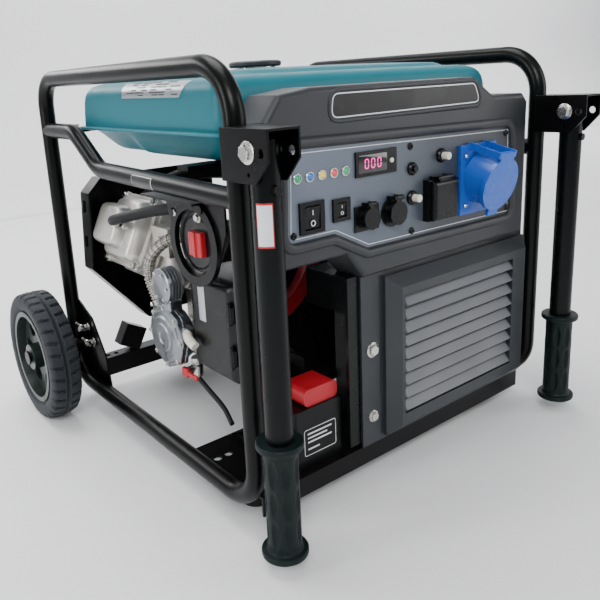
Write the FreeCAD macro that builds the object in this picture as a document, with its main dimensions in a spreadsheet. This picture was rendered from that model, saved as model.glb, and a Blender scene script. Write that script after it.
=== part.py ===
"""Portable open-frame generator with a dual-fuel engine, an inverter panel and fold-down handles.

X points to the right of the panel, Y to the rear and Z up.  The origin is on the ground,
in the middle of the machine's plan.  All sizes are in millimetres.
"""
import FreeCAD, Part
import math
import os
import re
import Sketcher

os.makedirs("parts", exist_ok=True)
doc = FreeCAD.newDocument("portable_generator")
dims = doc.addObject("Spreadsheet::Sheet", "dims")

# Driving dimensions.  Names that end in _low and _high are a piece's two ends along an axis.
SIZES = {
    # welded side frames
    "tube_dia": 25, "side_x": 284, "upright_y": 274, "rail_low": 45, "rail_high": 568,
    "bend_top_front": 58, "bend_top_rear": 46, "bend_foot": 56,
    "mid_front": 426, "mid_kink": 433, "mid_rear": 486, "mid_kink_y": 83, "mid_rise_y": 164,
    "mid_bend": 60, "sheet": 3,
    # base
    "tray_front": -266, "tray_back": -107, "tray_top": 49, "tray_drop": 27,
    "beam_front": 243, "beam_back": 270, "beam_low": 35, "beam_high": 69,
    "foot_dia": 46, "foot_x": 235, "foot_y": -200,
    # wheels
    "wheel_dia": 220, "wheel_width": 50, "wheel_x": 353, "wheel_y": 251, "rim_dia": 158,
    "hub_dia": 44, "axle_dia": 16, "axle_play": 0.05, "axle_cap": 24, "web_thick": 14,
    "spoke_hole": 30, "spoke_ring": 49,
    # folding handles
    "handle_x": 288, "handle_y": -328.6, "handle_dia": 32, "handle_top": 494, "handle_low": 24,
    "pivot_z": 482,
    "pivot_dia": 10, "grip_dia": 40, "grip_low": 19, "grip_high": 163, "flange_dia": 55,
    "flange_thick": 8, "cheek_out": 20.5, "cheek_thick": 2.5, "cheek_front": -361,
    "cheek_low": 451, "cheek_high": 505.5, "snap_z": 444, "snap_dia": 10,
    # tank
    "tank_half": 256, "tank_front": -206, "tank_rear": 200, "tank_low": 452, "seam_z": 490,
    "seam_thick": 4, "seam_lip": 8, "tank_shoulder": 553, "tank_crown": 568, "cap_x": -72,
    "cap_y": -30, "cap_dia": 78, "neck_dia": 60, "cap_low": 566, "cap_high": 577,
    # control panel
    "panel_half": 250, "panel_front": -280, "panel_back": -225, "panel_low": 298,
    "panel_step": 334, "panel_high": 511, "hump_high": 539, "wall": 4, "plate_thick": 2,
    "rocker_x": -188, "rocker_z": 392, "rocker_size": 38, "eco_x": -141, "eco_z": 394,
    "eco_size": 28, "reset_x": -13, "reset_z": 428, "breaker_x": -13, "breaker_z": 390,
    "breaker2_x": 46, "breaker2_z": 439, "usb_x": -98, "usb_z": 377, "dc_x": -52, "dc_z": 377,
    "schuko_x": 38, "schuko_z": 382, "schuko_size": 56, "cee_x": 124, "cee_z": 399,
    "cee_wide": 80, "cee_tall": 98, "meter_x": -80, "meter_z": 444, "play": 0.4,
    # inverter cover and its box
    "cover_back": -268, "cover_face": -290, "cover_left": -98, "cover_right": 264,
    "cover_low": 50, "cover_high": 296, "slat_left": -36, "slat_right": 212, "slat_low": 88,
    "slat_high": 262, "slat_depth": 9,
    # engine
    "crank_x": 15, "crank_z": 213, "cylinder_y": 148, "lean": 25, "crown_reach": 286, "alt_dia": 236,
    "alt_front": -95, "alt_back": 62, "head_reach": 268, "vc_wide": 108, "vc_tall": 114,
    # left side services
    "filter_left": -245, "filter_right": -165, "filter_front": -193, "filter_back": -75,
    "filter_low": 160, "filter_high": 302, "ring_y": -121, "ring_z": 348, "ring_out": 58,
    "ring_in": 45, "bracket_x": -250,
}
for row, (word, value) in enumerate(SIZES.items(), 1):
    dims.set("A%d" % row, word)
    dims.set("B%d" % row, str(value))
    dims.setAlias("B%d" % row, word)
doc.recompute()

WORD = re.compile(r"\b(" + "|".join(sorted(SIZES, key=len, reverse=True)) + r")\b")
PLANES = {"XY": "XY_Plane", "XZ": "XZ_Plane", "YZ": "YZ_Plane"}
TURN = {
    "X": FreeCAD.Rotation(FreeCAD.Vector(0, 1, 0), 90),
    "Y": FreeCAD.Rotation(FreeCAD.Vector(1, 0, 0), -90),
    "Z": FreeCAD.Rotation(),
}
nodes = []


def size(word):
    """A cell's number, for the pieces that are worked out with Part's own functions."""
    return float(dims.get(word))


def bind(thing, prop, formula):
    """Ties a property to a formula written in the sheet's words."""
    thing.setExpression(prop, WORD.sub(r"dims.\1", str(formula)))


def place(thing, where):
    for axis, formula in zip("xyz", where):
        bind(thing, "Placement.Base." + axis, formula)


def block(name, low, extent):
    """A box from its low corner and its extent along X, Y and Z."""
    box = doc.addObject("Part::Box", name)
    for prop, formula in zip(("Length", "Width", "Height"), extent):
        bind(box, prop, formula)
    place(box, low)
    return box


def rod(name, axis, start, diameter, length):
    """A cylinder that starts at a point and runs along +X, +Y or +Z."""
    cylinder = doc.addObject("Part::Cylinder", name)
    bind(cylinder, "Radius", "(%s)/2" % diameter)
    bind(cylinder, "Height", length)
    cylinder.Placement = FreeCAD.Placement(FreeCAD.Vector(), TURN[axis])
    place(cylinder, start)
    return cylinder


def fuse(name, pieces):
    joined = doc.addObject("Part::MultiFuse", name)
    joined.Shapes = pieces
    return joined


def cut(name, base, tools):
    """The base less the tools; several tools are joined first."""
    tool = tools[0] if len(tools) == 1 else fuse(name + "_tools", tools)
    result = doc.addObject("Part::Cut", name)
    result.Base = base
    result.Tool = tool
    return result


def group(name, pieces):
    """Separate solids that share one node."""
    compound = doc.addObject("Part::Compound", name)
    compound.Links = pieces
    return compound


def soften(name, base, radius, chosen, kind="Part::Fillet"):
    """Rounds or bevels the edges of a base that the test picks."""
    doc.recompute()
    softened = doc.addObject(kind, name)
    softened.Base = base
    picked = [i for i, edge in enumerate(base.Shape.Edges, 1) if chosen(edge)]
    softened.Edges = [(i, radius, radius) for i in picked]
    return softened


def along(axis):
    """Picks straight edges that run along one axis."""
    index = "XYZ".index(axis)

    def test(edge):
        ends = [vertex.Point for vertex in edge.Vertexes]
        if len(ends) < 2:
            return False
        step = ends[1] - ends[0]
        return abs(step[index]) > 0.999 * step.Length

    return test


def at(axis, value):
    """Picks edges that lie wholly at one height along an axis."""
    index = "XYZ".index(axis)
    return lambda edge: all(abs(v.Point[index] - value) < 0.01 for v in edge.Vertexes)


def outline(name, plane, offset, depth, corners):
    """A plate padded from a closed sketch; each corner is tied to its own two formulas."""
    body = doc.addObject("PartDesign::Body", name)
    sketch = body.newObject("Sketcher::SketchObject", name + "_sketch")
    origin = [f for f in body.Origin.OriginFeatures if f.Role == PLANES[plane]][0]
    sketch.AttachmentSupport = [(origin, "")]
    sketch.MapMode = "FlatFace"
    bind(sketch, "AttachmentOffset.Base.z", offset)
    points = [FreeCAD.Vector(*[eval_formula(f) for f in corner], 0) for corner in corners]
    count = len(points)
    for i in range(count):
        sketch.addGeometry(Part.LineSegment(points[i], points[(i + 1) % count]), False)
    for i in range(count):
        sketch.addConstraint(Sketcher.Constraint("Coincident", i, 2, (i + 1) % count, 1))
    for i, corner in enumerate(corners):
        for kind, formula, value in zip(("DistanceX", "DistanceY"), corner, points[i]):
            index = sketch.addConstraint(Sketcher.Constraint(kind, -1, 1, i, 1, value))
            bind(sketch, "Constraints[%d]" % index, formula)
    pad = body.newObject("PartDesign::Pad", name + "_pad")
    pad.Profile = sketch
    bind(pad, "Length", depth)
    return body


def eval_formula(formula):
    """The number that a formula in the sheet's words gives now."""
    return float(dims.evalExpression(WORD.sub(r"dims.\1", str(formula))))


def turned(name, axis, where, profile):
    """A revolved body; the profile's corners are (radius, distance along the axis)."""
    body = doc.addObject("PartDesign::Body", name)
    sketch = body.newObject("Sketcher::SketchObject", name + "_sketch")
    origin = [f for f in body.Origin.OriginFeatures if f.Role == "XZ_Plane"][0]
    sketch.AttachmentSupport = [(origin, "")]
    sketch.MapMode = "FlatFace"
    points = [FreeCAD.Vector(*[eval_formula(f) for f in corner], 0) for corner in profile]
    for i in range(len(points)):
        sketch.addGeometry(Part.LineSegment(points[i], points[(i + 1) % len(points)]), False)
    for i in range(len(points)):
        sketch.addConstraint(Sketcher.Constraint("Coincident", i, 2, (i + 1) % len(points), 1))
    for i, corner in enumerate(profile):
        for kind, formula, value in zip(("DistanceX", "DistanceY"), corner, points[i]):
            index = sketch.addConstraint(Sketcher.Constraint(kind, -1, 1, i, 1, value))
            bind(sketch, "Constraints[%d]" % index, formula)
    revolution = body.newObject("PartDesign::Revolution", name + "_turn")
    revolution.Profile = sketch
    revolution.ReferenceAxis = (sketch, ["V_Axis"])
    revolution.Angle = 360
    body.Placement = FreeCAD.Placement(FreeCAD.Vector(), TURN[axis])
    place(body, where)
    return body


def vec(x, y, z):
    return FreeCAD.Vector(*[eval_formula(f) for f in (x, y, z)])


def path(points, bends, closed=False):
    """Straight runs joined by tangent arcs; one bend radius for each corner."""
    corners = list(range(len(points))) if closed else list(range(1, len(points) - 1))
    radii = dict(zip(corners, bends))
    arcs = {}
    for i in corners:
        back = (points[i - 1] - points[i]).normalize()
        ahead = (points[(i + 1) % len(points)] - points[i]).normalize()
        turn = math.pi - back.getAngle(ahead)
        setback = radii[i] * math.tan(turn / 2)
        middle = (back + ahead).normalize()
        sagitta = radii[i] * (1 / math.cos(turn / 2) - 1)
        arcs[i] = (points[i] + back * setback, points[i] + middle * sagitta,
                   points[i] + ahead * setback)
    edges = []
    if closed:
        start = (arcs[0][2] + arcs[1][0]) * 0.5
        order = list(range(1, len(points))) + [0]
        here = start
    else:
        order = corners
        here = points[0]
    for i in order:
        edges.append(Part.LineSegment(here, arcs[i][0]).toShape())
        edges.append(Part.Arc(*arcs[i]).toShape())
        here = arcs[i][2]
    edges.append(Part.LineSegment(here, start if closed else points[-1]).toShape())
    return Part.Wire(edges)


def swept(spine, diameter):
    """A round bar along a path, checked against its section times its length."""
    first = spine.OrderedEdges[0]
    start = first.valueAt(first.FirstParameter)
    heading = first.tangentAt(first.FirstParameter)
    ring = Part.Wire([Part.makeCircle(diameter / 2, start, heading)])
    bar = spine.makePipeShell([ring], True, False)
    expected = math.pi * diameter ** 2 / 4 * spine.Length
    if abs(bar.Volume - expected) > 0.02 * expected:
        print("tube volume differs", bar.Volume, expected)
    return bar


def feature(name, shape):
    """A piece whose shape was worked out with Part's own functions."""
    thing = doc.addObject("Part::Feature", name)
    thing.Shape = shape
    return thing


def keep(name, thing):
    """Names the node that a finished piece is written to."""
    thing.Label = name
    nodes.append((name, thing))
    return thing


def side_frame(side):
    """One bent side hoop with its kinked middle rail, welded into one piece."""
    x = "%d*side_x" % side
    front, rear = "-upright_y", "upright_y"
    hoop = path([vec(x, front, "rail_low"), vec(x, front, "rail_high"),
                 vec(x, rear, "rail_high"), vec(x, rear, "rail_low")],
                [size("bend_foot"), size("bend_top_front"), size("bend_top_rear"),
                 size("bend_foot")], closed=True)
    rail = path([vec(x, front, "mid_front"), vec(x, "mid_kink_y", "mid_kink"),
                 vec(x, "mid_rise_y", "mid_rear"), vec(x, rear, "mid_rear")],
                [size("mid_bend")] * 2)
    bars = [swept(line, size("tube_dia")) for line in (hoop, rail)]
    pieces = [feature("%s_bar_%d" % ("left" if side < 0 else "right", i), bar)
              for i, bar in enumerate(bars)]
    name = "left_side_frame" if side < 0 else "right_side_frame"
    return keep(name, fuse(name, pieces))


def front_tray():
    """The folded sheet base in front, with the battery's strap and its drain holes."""
    inner = "(side_x - tube_dia/2)"
    deck = block("tray_deck", ("-" + inner, "tray_front", "tray_top - sheet"),
                 ("2*" + inner, "tray_back - tray_front", "sheet"))
    lip = block("tray_lip", ("-" + inner, "tray_front", "tray_top - tray_drop"),
                ("2*" + inner, "sheet", "tray_drop"))
    rib = block("tray_rib", ("-" + inner, "tray_back - sheet", "tray_top - tray_drop"),
                ("2*" + inner, "sheet", "tray_drop"))
    hook = block("battery_hook", ("-222", "-196", "tray_top + 84"), ("108", "26", "sheet"))
    post = block("battery_post", ("-222", "-196", "tray_top"), ("sheet", "26", "84 + sheet"))
    holes = [rod("tray_hole_%d" % i, "Z", (x, "-150", "tray_top - 2*sheet"), "12", "4*sheet")
             for i, x in enumerate(("-262", "-244", "244", "262"))]
    body = cut("tray_holed", fuse("tray_sheet", [deck, lip, rib, post, hook]), holes)
    return keep("front_tray", body)


def rear_crossmember(frames):
    """The rear channel with the two corner gussets and the fixed axle pins."""
    inner = "(side_x - 12)"
    outer = block("beam_outer", ("-" + inner, "beam_front", "beam_low"),
                  ("2*" + inner, "beam_back - beam_front", "beam_high - beam_low"))
    hollow = block("beam_hollow", ("-" + inner, "beam_front + sheet", "beam_low - 1"),
                   ("2*" + inner, "beam_back - beam_front - 2*sheet",
                    "beam_high - beam_low - sheet + 1"))
    holes = [rod("beam_hole_%d" % i, "Z", (x, "(beam_front + beam_back)/2", "beam_high - 10"),
                 "9", "20") for i, x in enumerate(("-236", "-220", "220", "236"))]
    pieces = [cut("beam", outer, [hollow] + holes)]
    for side in (-1, 1):
        tag = "left" if side < 0 else "right"
        start = "%d*(side_x - 12) - %s" % (side, "0" if side > 0 else "sheet")
        plate = outline(tag + "_gusset", "YZ", start, "sheet",
                        [("upright_y - 6", "rail_low + 140"), ("upright_y - 58", "rail_low + 118"),
                         ("upright_y - 100", "rail_low + 60"), ("upright_y - 112", "rail_low - 4"),
                         ("upright_y - 6", "rail_low - 4")])
        pin = rod(tag + "_axle", "X", (start if side > 0 else "-side_x - 98",
                                       "wheel_y", "wheel_dia/2"), "axle_dia", "110")
        collar = rod(tag + "_collar", "X", ("side_x + 10" if side > 0 else "-side_x - 43",
                                            "wheel_y", "wheel_dia/2"), "axle_dia + 12", "33")
        cap = rod(tag + "_axle_cap", "X", ("side_x + 95.5" if side > 0 else "-side_x - 98.5",
                                           "wheel_y", "wheel_dia/2"), "axle_cap", "sheet")
        pieces += [plate, pin, collar, cap]
    square = feature("mount_square", Part.makeBox(42, 26, 42, FreeCAD.Vector(-21, -13, -21)))
    square.Placement = FreeCAD.Placement(vec("-187", "(beam_front + beam_back)/2", "beam_high + 27"),
                                         FreeCAD.Rotation(FreeCAD.Vector(0, 1, 0), 28))
    welded = fuse("rear_welded", pieces + [square])
    return keep("rear_crossmember", cut("rear_crossmember", welded, frames))


def wheel(side):
    """A moulded rim with round windows, and the solid tyre round it."""
    tag = "left" if side < 0 else "right"
    start = ("%d*wheel_x - wheel_width/2" % side, "wheel_y", "wheel_dia/2")
    half = "wheel_width/2"
    bore = "(axle_dia/2 + axle_play)"
    rim = turned(tag + "_rim_disc", "X", start,
                 [(bore, "1"), ("hub_dia/2", "1"), ("hub_dia/2", half + " - web_thick/2"),
                  ("rim_dia/2 - 10", half + " - web_thick/2"), ("rim_dia/2 - 8", "2"),
                  ("rim_dia/2", "2"), ("rim_dia/2", "wheel_width - 2"),
                  ("rim_dia/2 - 8", "wheel_width - 2"), ("rim_dia/2 - 10", half + " + web_thick/2"),
                  ("hub_dia/2", half + " + web_thick/2"), ("hub_dia/2", "wheel_width - 1"),
                  (bore, "wheel_width - 1")])
    windows = []
    for i in range(6):
        angle = math.radians(60 * i)
        windows.append(rod("%s_window_%d" % (tag, i), "X",
                           (start[0], "wheel_y + spoke_ring*%.6f" % math.cos(angle),
                            "wheel_dia/2 + spoke_ring*%.6f" % math.sin(angle)),
                           "spoke_hole", "wheel_width"))
    keep(tag + "_rim", cut(tag + "_rim", rim, windows))
    tyre = turned(tag + "_tyre", "X", start,
                  [("rim_dia/2", "1"), ("wheel_dia/2 - 9", "0"), ("wheel_dia/2", "9"),
                   ("wheel_dia/2", "wheel_width - 9"), ("wheel_dia/2 - 9", "wheel_width"),
                   ("rim_dia/2", "wheel_width - 1")])
    keep(tag + "_tyre", tyre)


def folding_handle(side):
    """The round handle tube with its sprung button, and the rubber grip on its end."""
    tag = "left" if side < 0 else "right"
    x = "%d*handle_x" % side
    tube = rod(tag + "_handle_tube", "Z", (x, "handle_y", "handle_low"), "handle_dia",
               "handle_top - handle_low")
    hole = rod(tag + "_pivot_hole", "X", (x + " - handle_dia", "handle_y", "pivot_z"),
               "pivot_dia + 0.1", "2*handle_dia")
    pocket = rod(tag + "_snap_pocket", "Y", (x, "handle_y - handle_dia/2 - 1", "snap_z"),
                 "snap_dia + 0.1", "handle_dia/2 + 5")
    keep(tag + "_handle", cut(tag + "_handle", tube, [hole, pocket]))
    grip = turned(tag + "_grip", "Z", (x, "handle_y", "grip_low"),
                  [("0", "0"), ("flange_dia/2", "0"), ("flange_dia/2", "flange_thick"),
                   ("grip_dia/2", "flange_thick + 4"),
                   ("grip_dia/2", "grip_high - grip_low - flange_thick - 4"),
                   ("flange_dia/2", "grip_high - grip_low - flange_thick"),
                   ("flange_dia/2", "grip_high - grip_low"),
                   ("handle_dia/2", "grip_high - grip_low"),
                   ("handle_dia/2", "handle_low - grip_low"), ("0", "handle_low - grip_low")])
    keep(tag + "_grip", grip)
    snap = rod(tag + "_snap", "Y", (x, "handle_y - handle_dia/2 - 4", "snap_z"), "snap_dia", "14")
    keep(tag + "_snap_button", snap)


def handle_brackets(frames):
    """Two folded steel forks, open to the front and below, welded to the front uprights."""
    forks = []
    for side in (-1, 1):
        tag = "left" if side < 0 else "right"
        x = "%d*handle_x" % side
        cheeks = []
        for edge in (-1, 1):
            inner = x + (" - cheek_out" if edge < 0 else " + cheek_out - cheek_thick")
            cheek = outline("%s_cheek_%d" % (tag, edge + 1), "YZ", inner, "cheek_thick",
                            [("-upright_y - 7", "cheek_low"), ("cheek_front + 22", "cheek_low"),
                             ("cheek_front", "cheek_low + 24"), ("cheek_front", "cheek_high"),
                             ("-upright_y - 7", "cheek_high")])
            cheeks.append(cheek)
        roof = block(tag + "_roof", (x + " - cheek_out", "cheek_front", "cheek_high - cheek_thick"),
                     ("2*cheek_out", "-upright_y - 7 - cheek_front", "cheek_thick"))
        back = block(tag + "_back", (x + " - cheek_out", "-upright_y - tube_dia/2 - cheek_thick",
                                     "cheek_low"),
                     ("2*cheek_out", "cheek_thick", "cheek_high - cheek_low"))
        tools = [rod(tag + "_fork_bore", "X", (x + " - 30", "handle_y", "pivot_z"),
                     "pivot_dia", "60"),
                 rod(tag + "_fork_hole", "X", (x + " - 30", "handle_y - 21", "pivot_z"),
                     "snap_dia", "60"),
                 rod(tag + "_fork_pin", "X", (x + " - 30", "handle_y", "pivot_z - 22"), "5", "60")]
        tools.append(frames[0 if side < 0 else 1])
        forks.append(cut(tag + "_fork", fuse(tag + "_fork_sheet", cheeks + [roof, back]), tools))
    return keep("handle_brackets", group("handle_brackets", forks))


def rounded_loop(left, right, front, rear, corner, level):
    """A rounded rectangle in plan at one level."""
    turns = ((left + corner, rear - corner, 90), (left + corner, front + corner, 180),
             (right - corner, front + corner, 270), (right - corner, rear - corner, 0))
    edges = []
    for x, y, start in turns:
        points = []
        for step in (0, 45, 90):
            angle = math.radians(start + step)
            points.append(FreeCAD.Vector(x + corner * math.cos(angle),
                                         y + corner * math.sin(angle), level))
        edges.append(Part.Arc(*points).toShape())
    sides = [Part.LineSegment(edges[i].Vertexes[-1].Point,
                              edges[(i + 1) % 4].Vertexes[0].Point).toShape() for i in range(4)]
    return Part.Wire([piece for pair in zip(edges, sides) for piece in pair])


def stacked(name, sections):
    """A solid through rounded rectangles, from the lowest to the highest."""
    loops = [rounded_loop(*[eval_formula(f) for f in section]) for section in sections]
    return feature(name, Part.makeLoft(loops, True, True))


def fuel_tank():
    """Two pressed tank halves with their seam lip, the crowned top and the filler neck."""
    lower = stacked("tank_lower", [
        ("-tank_half + 30", "tank_half - 30", "tank_front + 26", "tank_rear - 26", 30,
         "tank_low"),
        ("-tank_half + 4", "tank_half - 4", "tank_front + 4", "tank_rear - 4", 26,
         "tank_low + 24"),
        ("-tank_half", "tank_half", "tank_front", "tank_rear", 24, "seam_z")])
    lip = stacked("tank_seam", [
        ("-tank_half - seam_lip", "tank_half + seam_lip", "tank_front - seam_lip",
         "tank_rear + seam_lip", 28, "seam_z - seam_thick/2"),
        ("-tank_half - seam_lip", "tank_half + seam_lip", "tank_front - seam_lip",
         "tank_rear + seam_lip", 28, "seam_z + seam_thick/2")])
    upper = stacked("tank_upper", [
        ("-tank_half", "tank_half", "tank_front", "tank_rear", 24, "seam_z"),
        ("-tank_half + 3", "tank_half - 3", "tank_front + 3", "tank_rear - 3", 24,
         "tank_shoulder - 18"),
        ("-tank_half + 16", "tank_half - 16", "tank_front + 14", "tank_rear - 14", 24,
         "tank_shoulder"),
        ("-tank_half + 96", "tank_half - 96", "tank_front + 76", "tank_rear - 76", 24,
         "tank_crown")])
    neck = rod("filler_neck", "Z", ("cap_x", "cap_y", "tank_shoulder"), "neck_dia",
               "cap_low - tank_shoulder + 6")
    bore = rod("filler_bore", "Z", ("cap_x", "cap_y", "tank_shoulder - 10"), "neck_dia - 12",
               "40")
    tank = cut("tank_pressed", fuse("tank_shell", [lower, lip, upper, neck]), [bore])
    return keep("fuel_tank", tank)


def fuel_cap():
    """The twist cap over the filler neck."""
    cap = turned("cap_turned", "Z", ("cap_x", "cap_y", "cap_low"),
                 [("0", "6.4"), ("neck_dia/2 + play", "6.4"), ("neck_dia/2 + play", "2.6"),
                  ("cap_dia/2 - 2", "2.6"), ("cap_dia/2", "5"),
                  ("cap_dia/2", "cap_high - cap_low - 2"),
                  ("cap_dia/2 - 3", "cap_high - cap_low"), ("0", "cap_high - cap_low")])
    return keep("fuel_cap", cap)


def tank_supports():
    """The two cross straps that carry the tank's lip, with rubber-lined ends on the rails."""
    inner = "(side_x - tube_dia/2)"
    straps = []
    for tag, y in (("front", "-150"), ("rear", "tank_rear + 22")):
        level = "seam_z - seam_thick/2 - 2*sheet" if tag == "rear" else "tank_low - 2*sheet"
        bar = block(tag + "_strap", ("-" + inner, y, level), ("2*" + inner, "26", "2*sheet"))
        straps.append(bar)
    tabs = []
    for side in (-1, 1):
        x = "-tank_half - seam_lip - 4" if side < 0 else "tank_half - 14"
        tabs.append(block("tab_%d" % (side + 1), (x, "tank_rear + 9", "seam_z - 8"),
                          ("26", "20", "2*sheet")))
    return keep("tank_supports", fuse("tank_supports", straps + tabs))


def panel_housing():
    """The moulded fascia: a deep hollow shell with a raised hump and a stepped lower edge."""
    shape = [("-panel_half", "panel_step"), ("-130", "panel_step"), ("-100", "panel_low"),
             ("panel_half", "panel_low"), ("panel_half", "panel_high - 12"),
             ("panel_half - 12", "panel_high"), ("164", "panel_high + 1"), ("119", "hump_high"),
             ("-178", "hump_high"), ("-228", "hump_high - 6"), ("-panel_half", "hump_high - 34")]
    blank = outline("housing_outer", "XZ", "-panel_back", "panel_back - panel_front", shape)
    outer = soften("housing_rounded", blank, 7, at("Y", size("panel_front")))
    inside = [("-panel_half + wall", "panel_step + wall"), ("-128", "panel_step + wall"),
              ("-98", "panel_low + wall"), ("panel_half - wall", "panel_low + wall"),
              ("panel_half - wall", "panel_high - 12"), ("panel_half - 14", "panel_high - wall"),
              ("162", "panel_high - 3"), ("116", "hump_high - wall"),
              ("-177", "hump_high - wall"), ("-226", "hump_high - 10"),
              ("-panel_half + wall", "hump_high - 37")]
    hollow = outline("housing_hollow", "XZ", "-panel_back - 1",
                     "panel_back - panel_front - wall + 1", inside)
    recess = outline("plate_recess", "XZ", "-panel_front - plate_thick", "plate_thick + 1",
                     plate_corners("0.3"))
    badge = outline("badge_recess", "XZ", "-panel_front - plate_thick", "plate_thick + 1",
                    badge_corners("0.3"))
    shell = cut("housing_shell", outer, [hollow, recess, badge])
    holes = fixture_holes("housing")
    return keep("panel_housing", cut("housing_drilled", shell, holes))


def plate_corners(grow):
    """The control plate's outline, grown by a margin."""
    return [("-224 - %s" % grow, "366 - %s" % grow), ("-151", "366 - %s" % grow),
            ("-95", "338 - %s" % grow), ("209 + %s" % grow, "334 - %s" % grow),
            ("203 + %s" % grow, "464 + %s" % grow), ("-219 - %s" % grow, "472 + %s" % grow)]


def badge_corners(grow):
    """The blank badge's outline, grown by a margin."""
    return [("-154 - %s" % grow, "501 - %s" % grow), ("-146", "497 - %s" % grow),
            ("127", "497 - %s" % grow), ("133 + %s" % grow, "503 - %s" % grow),
            ("118 + %s" % grow, "532 + %s" % grow), ("-150 - %s" % grow, "532 + %s" % grow)]


def fixture_holes(tag):
    """The openings that the switches and sockets stand in."""
    front = "panel_front - 6"
    depth = "wall + plate_thick + 12"

    def window(name, x, z, wide, tall):
        return block(tag + "_" + name, ("%s - (%s)/2" % (x, wide), front, "%s - (%s)/2" % (z, tall)),
                     (wide, depth, tall))

    holes = [window("rocker_window", "rocker_x", "rocker_z", "rocker_size - 6", "rocker_size - 6"),
             window("eco_window", "eco_x", "eco_z", "eco_size - 5", "eco_size - 5"),
             window("meter_window", "meter_x", "meter_z", "66", "26"),
             window("schuko_window", "schuko_x", "schuko_z", "schuko_size - 10",
                    "schuko_size - 10"),
             window("cee_window", "cee_x", "cee_z", "cee_wide - 12", "cee_tall - 14")]
    for name, x, z, diameter in (("reset", "reset_x", "reset_z", "12"),
                                 ("breaker", "breaker_x", "breaker_z", "14"),
                                 ("breaker2", "breaker2_x", "breaker2_z", "14"),
                                 ("usb", "usb_x", "usb_z", "27"), ("dc", "dc_x", "dc_z", "29")):
        holes.append(rod(tag + "_" + name + "_hole", "Y", (x, front, z), diameter, depth))
    for i in range(5):
        holes.append(rod("%s_lamp_hole_%d" % (tag, i), "Y",
                         ("-207 + %d*18.8" % i, front, "439.5"), "6", depth))
    return holes


def control_plates():
    """The control plate and the blank badge, each lying in its recess."""
    plate = outline("plate_blank", "XZ", "-panel_front - plate_thick", "plate_thick - 0.4",
                    plate_corners("0"))
    keep("panel_plate", cut("plate_drilled", plate, fixture_holes("plate")))
    badge = outline("badge_blank", "XZ", "-panel_front - plate_thick", "plate_thick",
                    badge_corners("0"))
    keep("badge_plate", badge)


def indicator_lamps():
    """Five lamps: a flanged body through the plate with a domed lens."""
    lamps = []
    for i in range(5):
        lamp = turned("lamp_%d" % i, "Y", ("-207 + %d*18.8" % i, "panel_front - 3", "439.5"),
                      [("0", "0"), ("2.4", "0"), ("3.4", "0.9"), ("4.6", "2"), ("4.8", "3.2"),
                       ("2.9", "3.2"), ("2.9", "14"), ("0", "14")])
        lamps.append(lamp)
    return keep("indicator_lamps", group("indicator_lamps", lamps))


def output_meter():
    """The meter: a shallow framed window with a bored button seat."""
    frame = block("meter_frame", ("meter_x - 36", "panel_front - 2.4", "meter_z - 15.5"),
                  ("72", "2.6", "31"))
    body = block("meter_body", ("meter_x - 32", "panel_front", "meter_z - 12"),
                 ("64", "30", "24"))
    seat = rod("meter_seat", "Y", ("meter_x + 26", "panel_front - 5", "meter_z"), "6.1", "12")
    keep("output_meter", cut("output_meter", fuse("meter_joined", [frame, body]), [seat]))
    button = rod("meter_button", "Y", ("meter_x + 26", "panel_front - 4", "meter_z"), "6", "9")
    keep("meter_button", button)


def rocker_switch(tag, x, z, extent, throw):
    """A framed switch housing and the rocker that tips in it about X."""
    half = "(%s)/2" % extent
    rim = block(tag + "_rim", (x + " - " + half, "panel_front - 3", z + " - " + half),
                (extent, "3.2", extent))
    body = block(tag + "_body", (x + " - %s + 4" % half, "panel_front", z + " - %s + 4" % half),
                 (extent + " - 8", "26", extent + " - 8"))
    wide, tall = extent + " - 15", extent + " - 12"
    well = block(tag + "_well", ("%s - (%s)/2 - play" % (x, wide), "panel_front - 4",
                                 "%s - (%s)/2 - 1.2" % (z, tall)),
                 (wide + " + 2*play", "18", tall + " + 2.4"))
    housing = cut(tag + "_housing", fuse(tag + "_case", [rim, body]), [well])
    depth = 7.0
    reach = (eval_formula(tall)) / 2
    rise = reach * math.tan(math.radians(throw))
    left = eval_formula("%s - (%s)/2" % (x, wide))
    y, level = size("panel_front") + 1.5, eval_formula(z)
    side = [FreeCAD.Vector(left, y - 3.4 - rise, level + reach),
            FreeCAD.Vector(left, y - 3.4, level), FreeCAD.Vector(left, y - 3.4 + 0.2, level - reach),
            FreeCAD.Vector(left, y + depth - 3, level - reach * 0.7),
            FreeCAD.Vector(left, y + depth - 3, level + reach * 0.7)]
    face = Part.Face(Part.makePolygon(side + side[:1]))
    rocker = feature(tag + "_key", face.extrude(FreeCAD.Vector(eval_formula(wide), 0, 0)))
    return housing, rocker


def switches():
    """The start switch and the smaller economy switch."""
    start, start_key = rocker_switch("start", "rocker_x", "rocker_z", "rocker_size", 6)
    eco, eco_key = rocker_switch("eco", "eco_x", "eco_z", "eco_size", 6)
    keep("switch_housings", group("switch_housings", [start, eco]))
    keep("start_rocker", start_key)
    keep("economy_rocker", eco_key)


def push_button(name, x, z, diameter, proud):
    """A round push button in its flanged bush."""
    bush = turned(name + "_bush", "Y", (x, "panel_front - 5", z),
                  [("%s/2 + 0.06" % diameter, "0"), ("%s/2 + 2.6" % diameter, "0"),
                   ("%s/2 + 4.5" % diameter, "2.4"), ("%s/2 + 4.5" % diameter, "5"),
                   ("%s/2 + 1.4" % diameter, "5"), ("%s/2 + 1.4" % diameter, "24"),
                   ("0", "24"), ("0", "20"), ("%s/2 + 0.06" % diameter, "20")])
    button = rod(name, "Y", (x, "panel_front - 5 - %s" % proud, z), diameter,
                 "18 + %s - 4" % proud)
    keep(name, button)
    return bush


def push_buttons():
    bushes = [push_button("reset_button", "reset_x", "reset_z", "8", "3"),
              push_button("breaker_button_lower", "breaker_x", "breaker_z", "10", "9"),
              push_button("breaker_button_upper", "breaker2_x", "breaker2_z", "10", "9")]
    keep("breaker_bodies", group("breaker_bodies", bushes))


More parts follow.
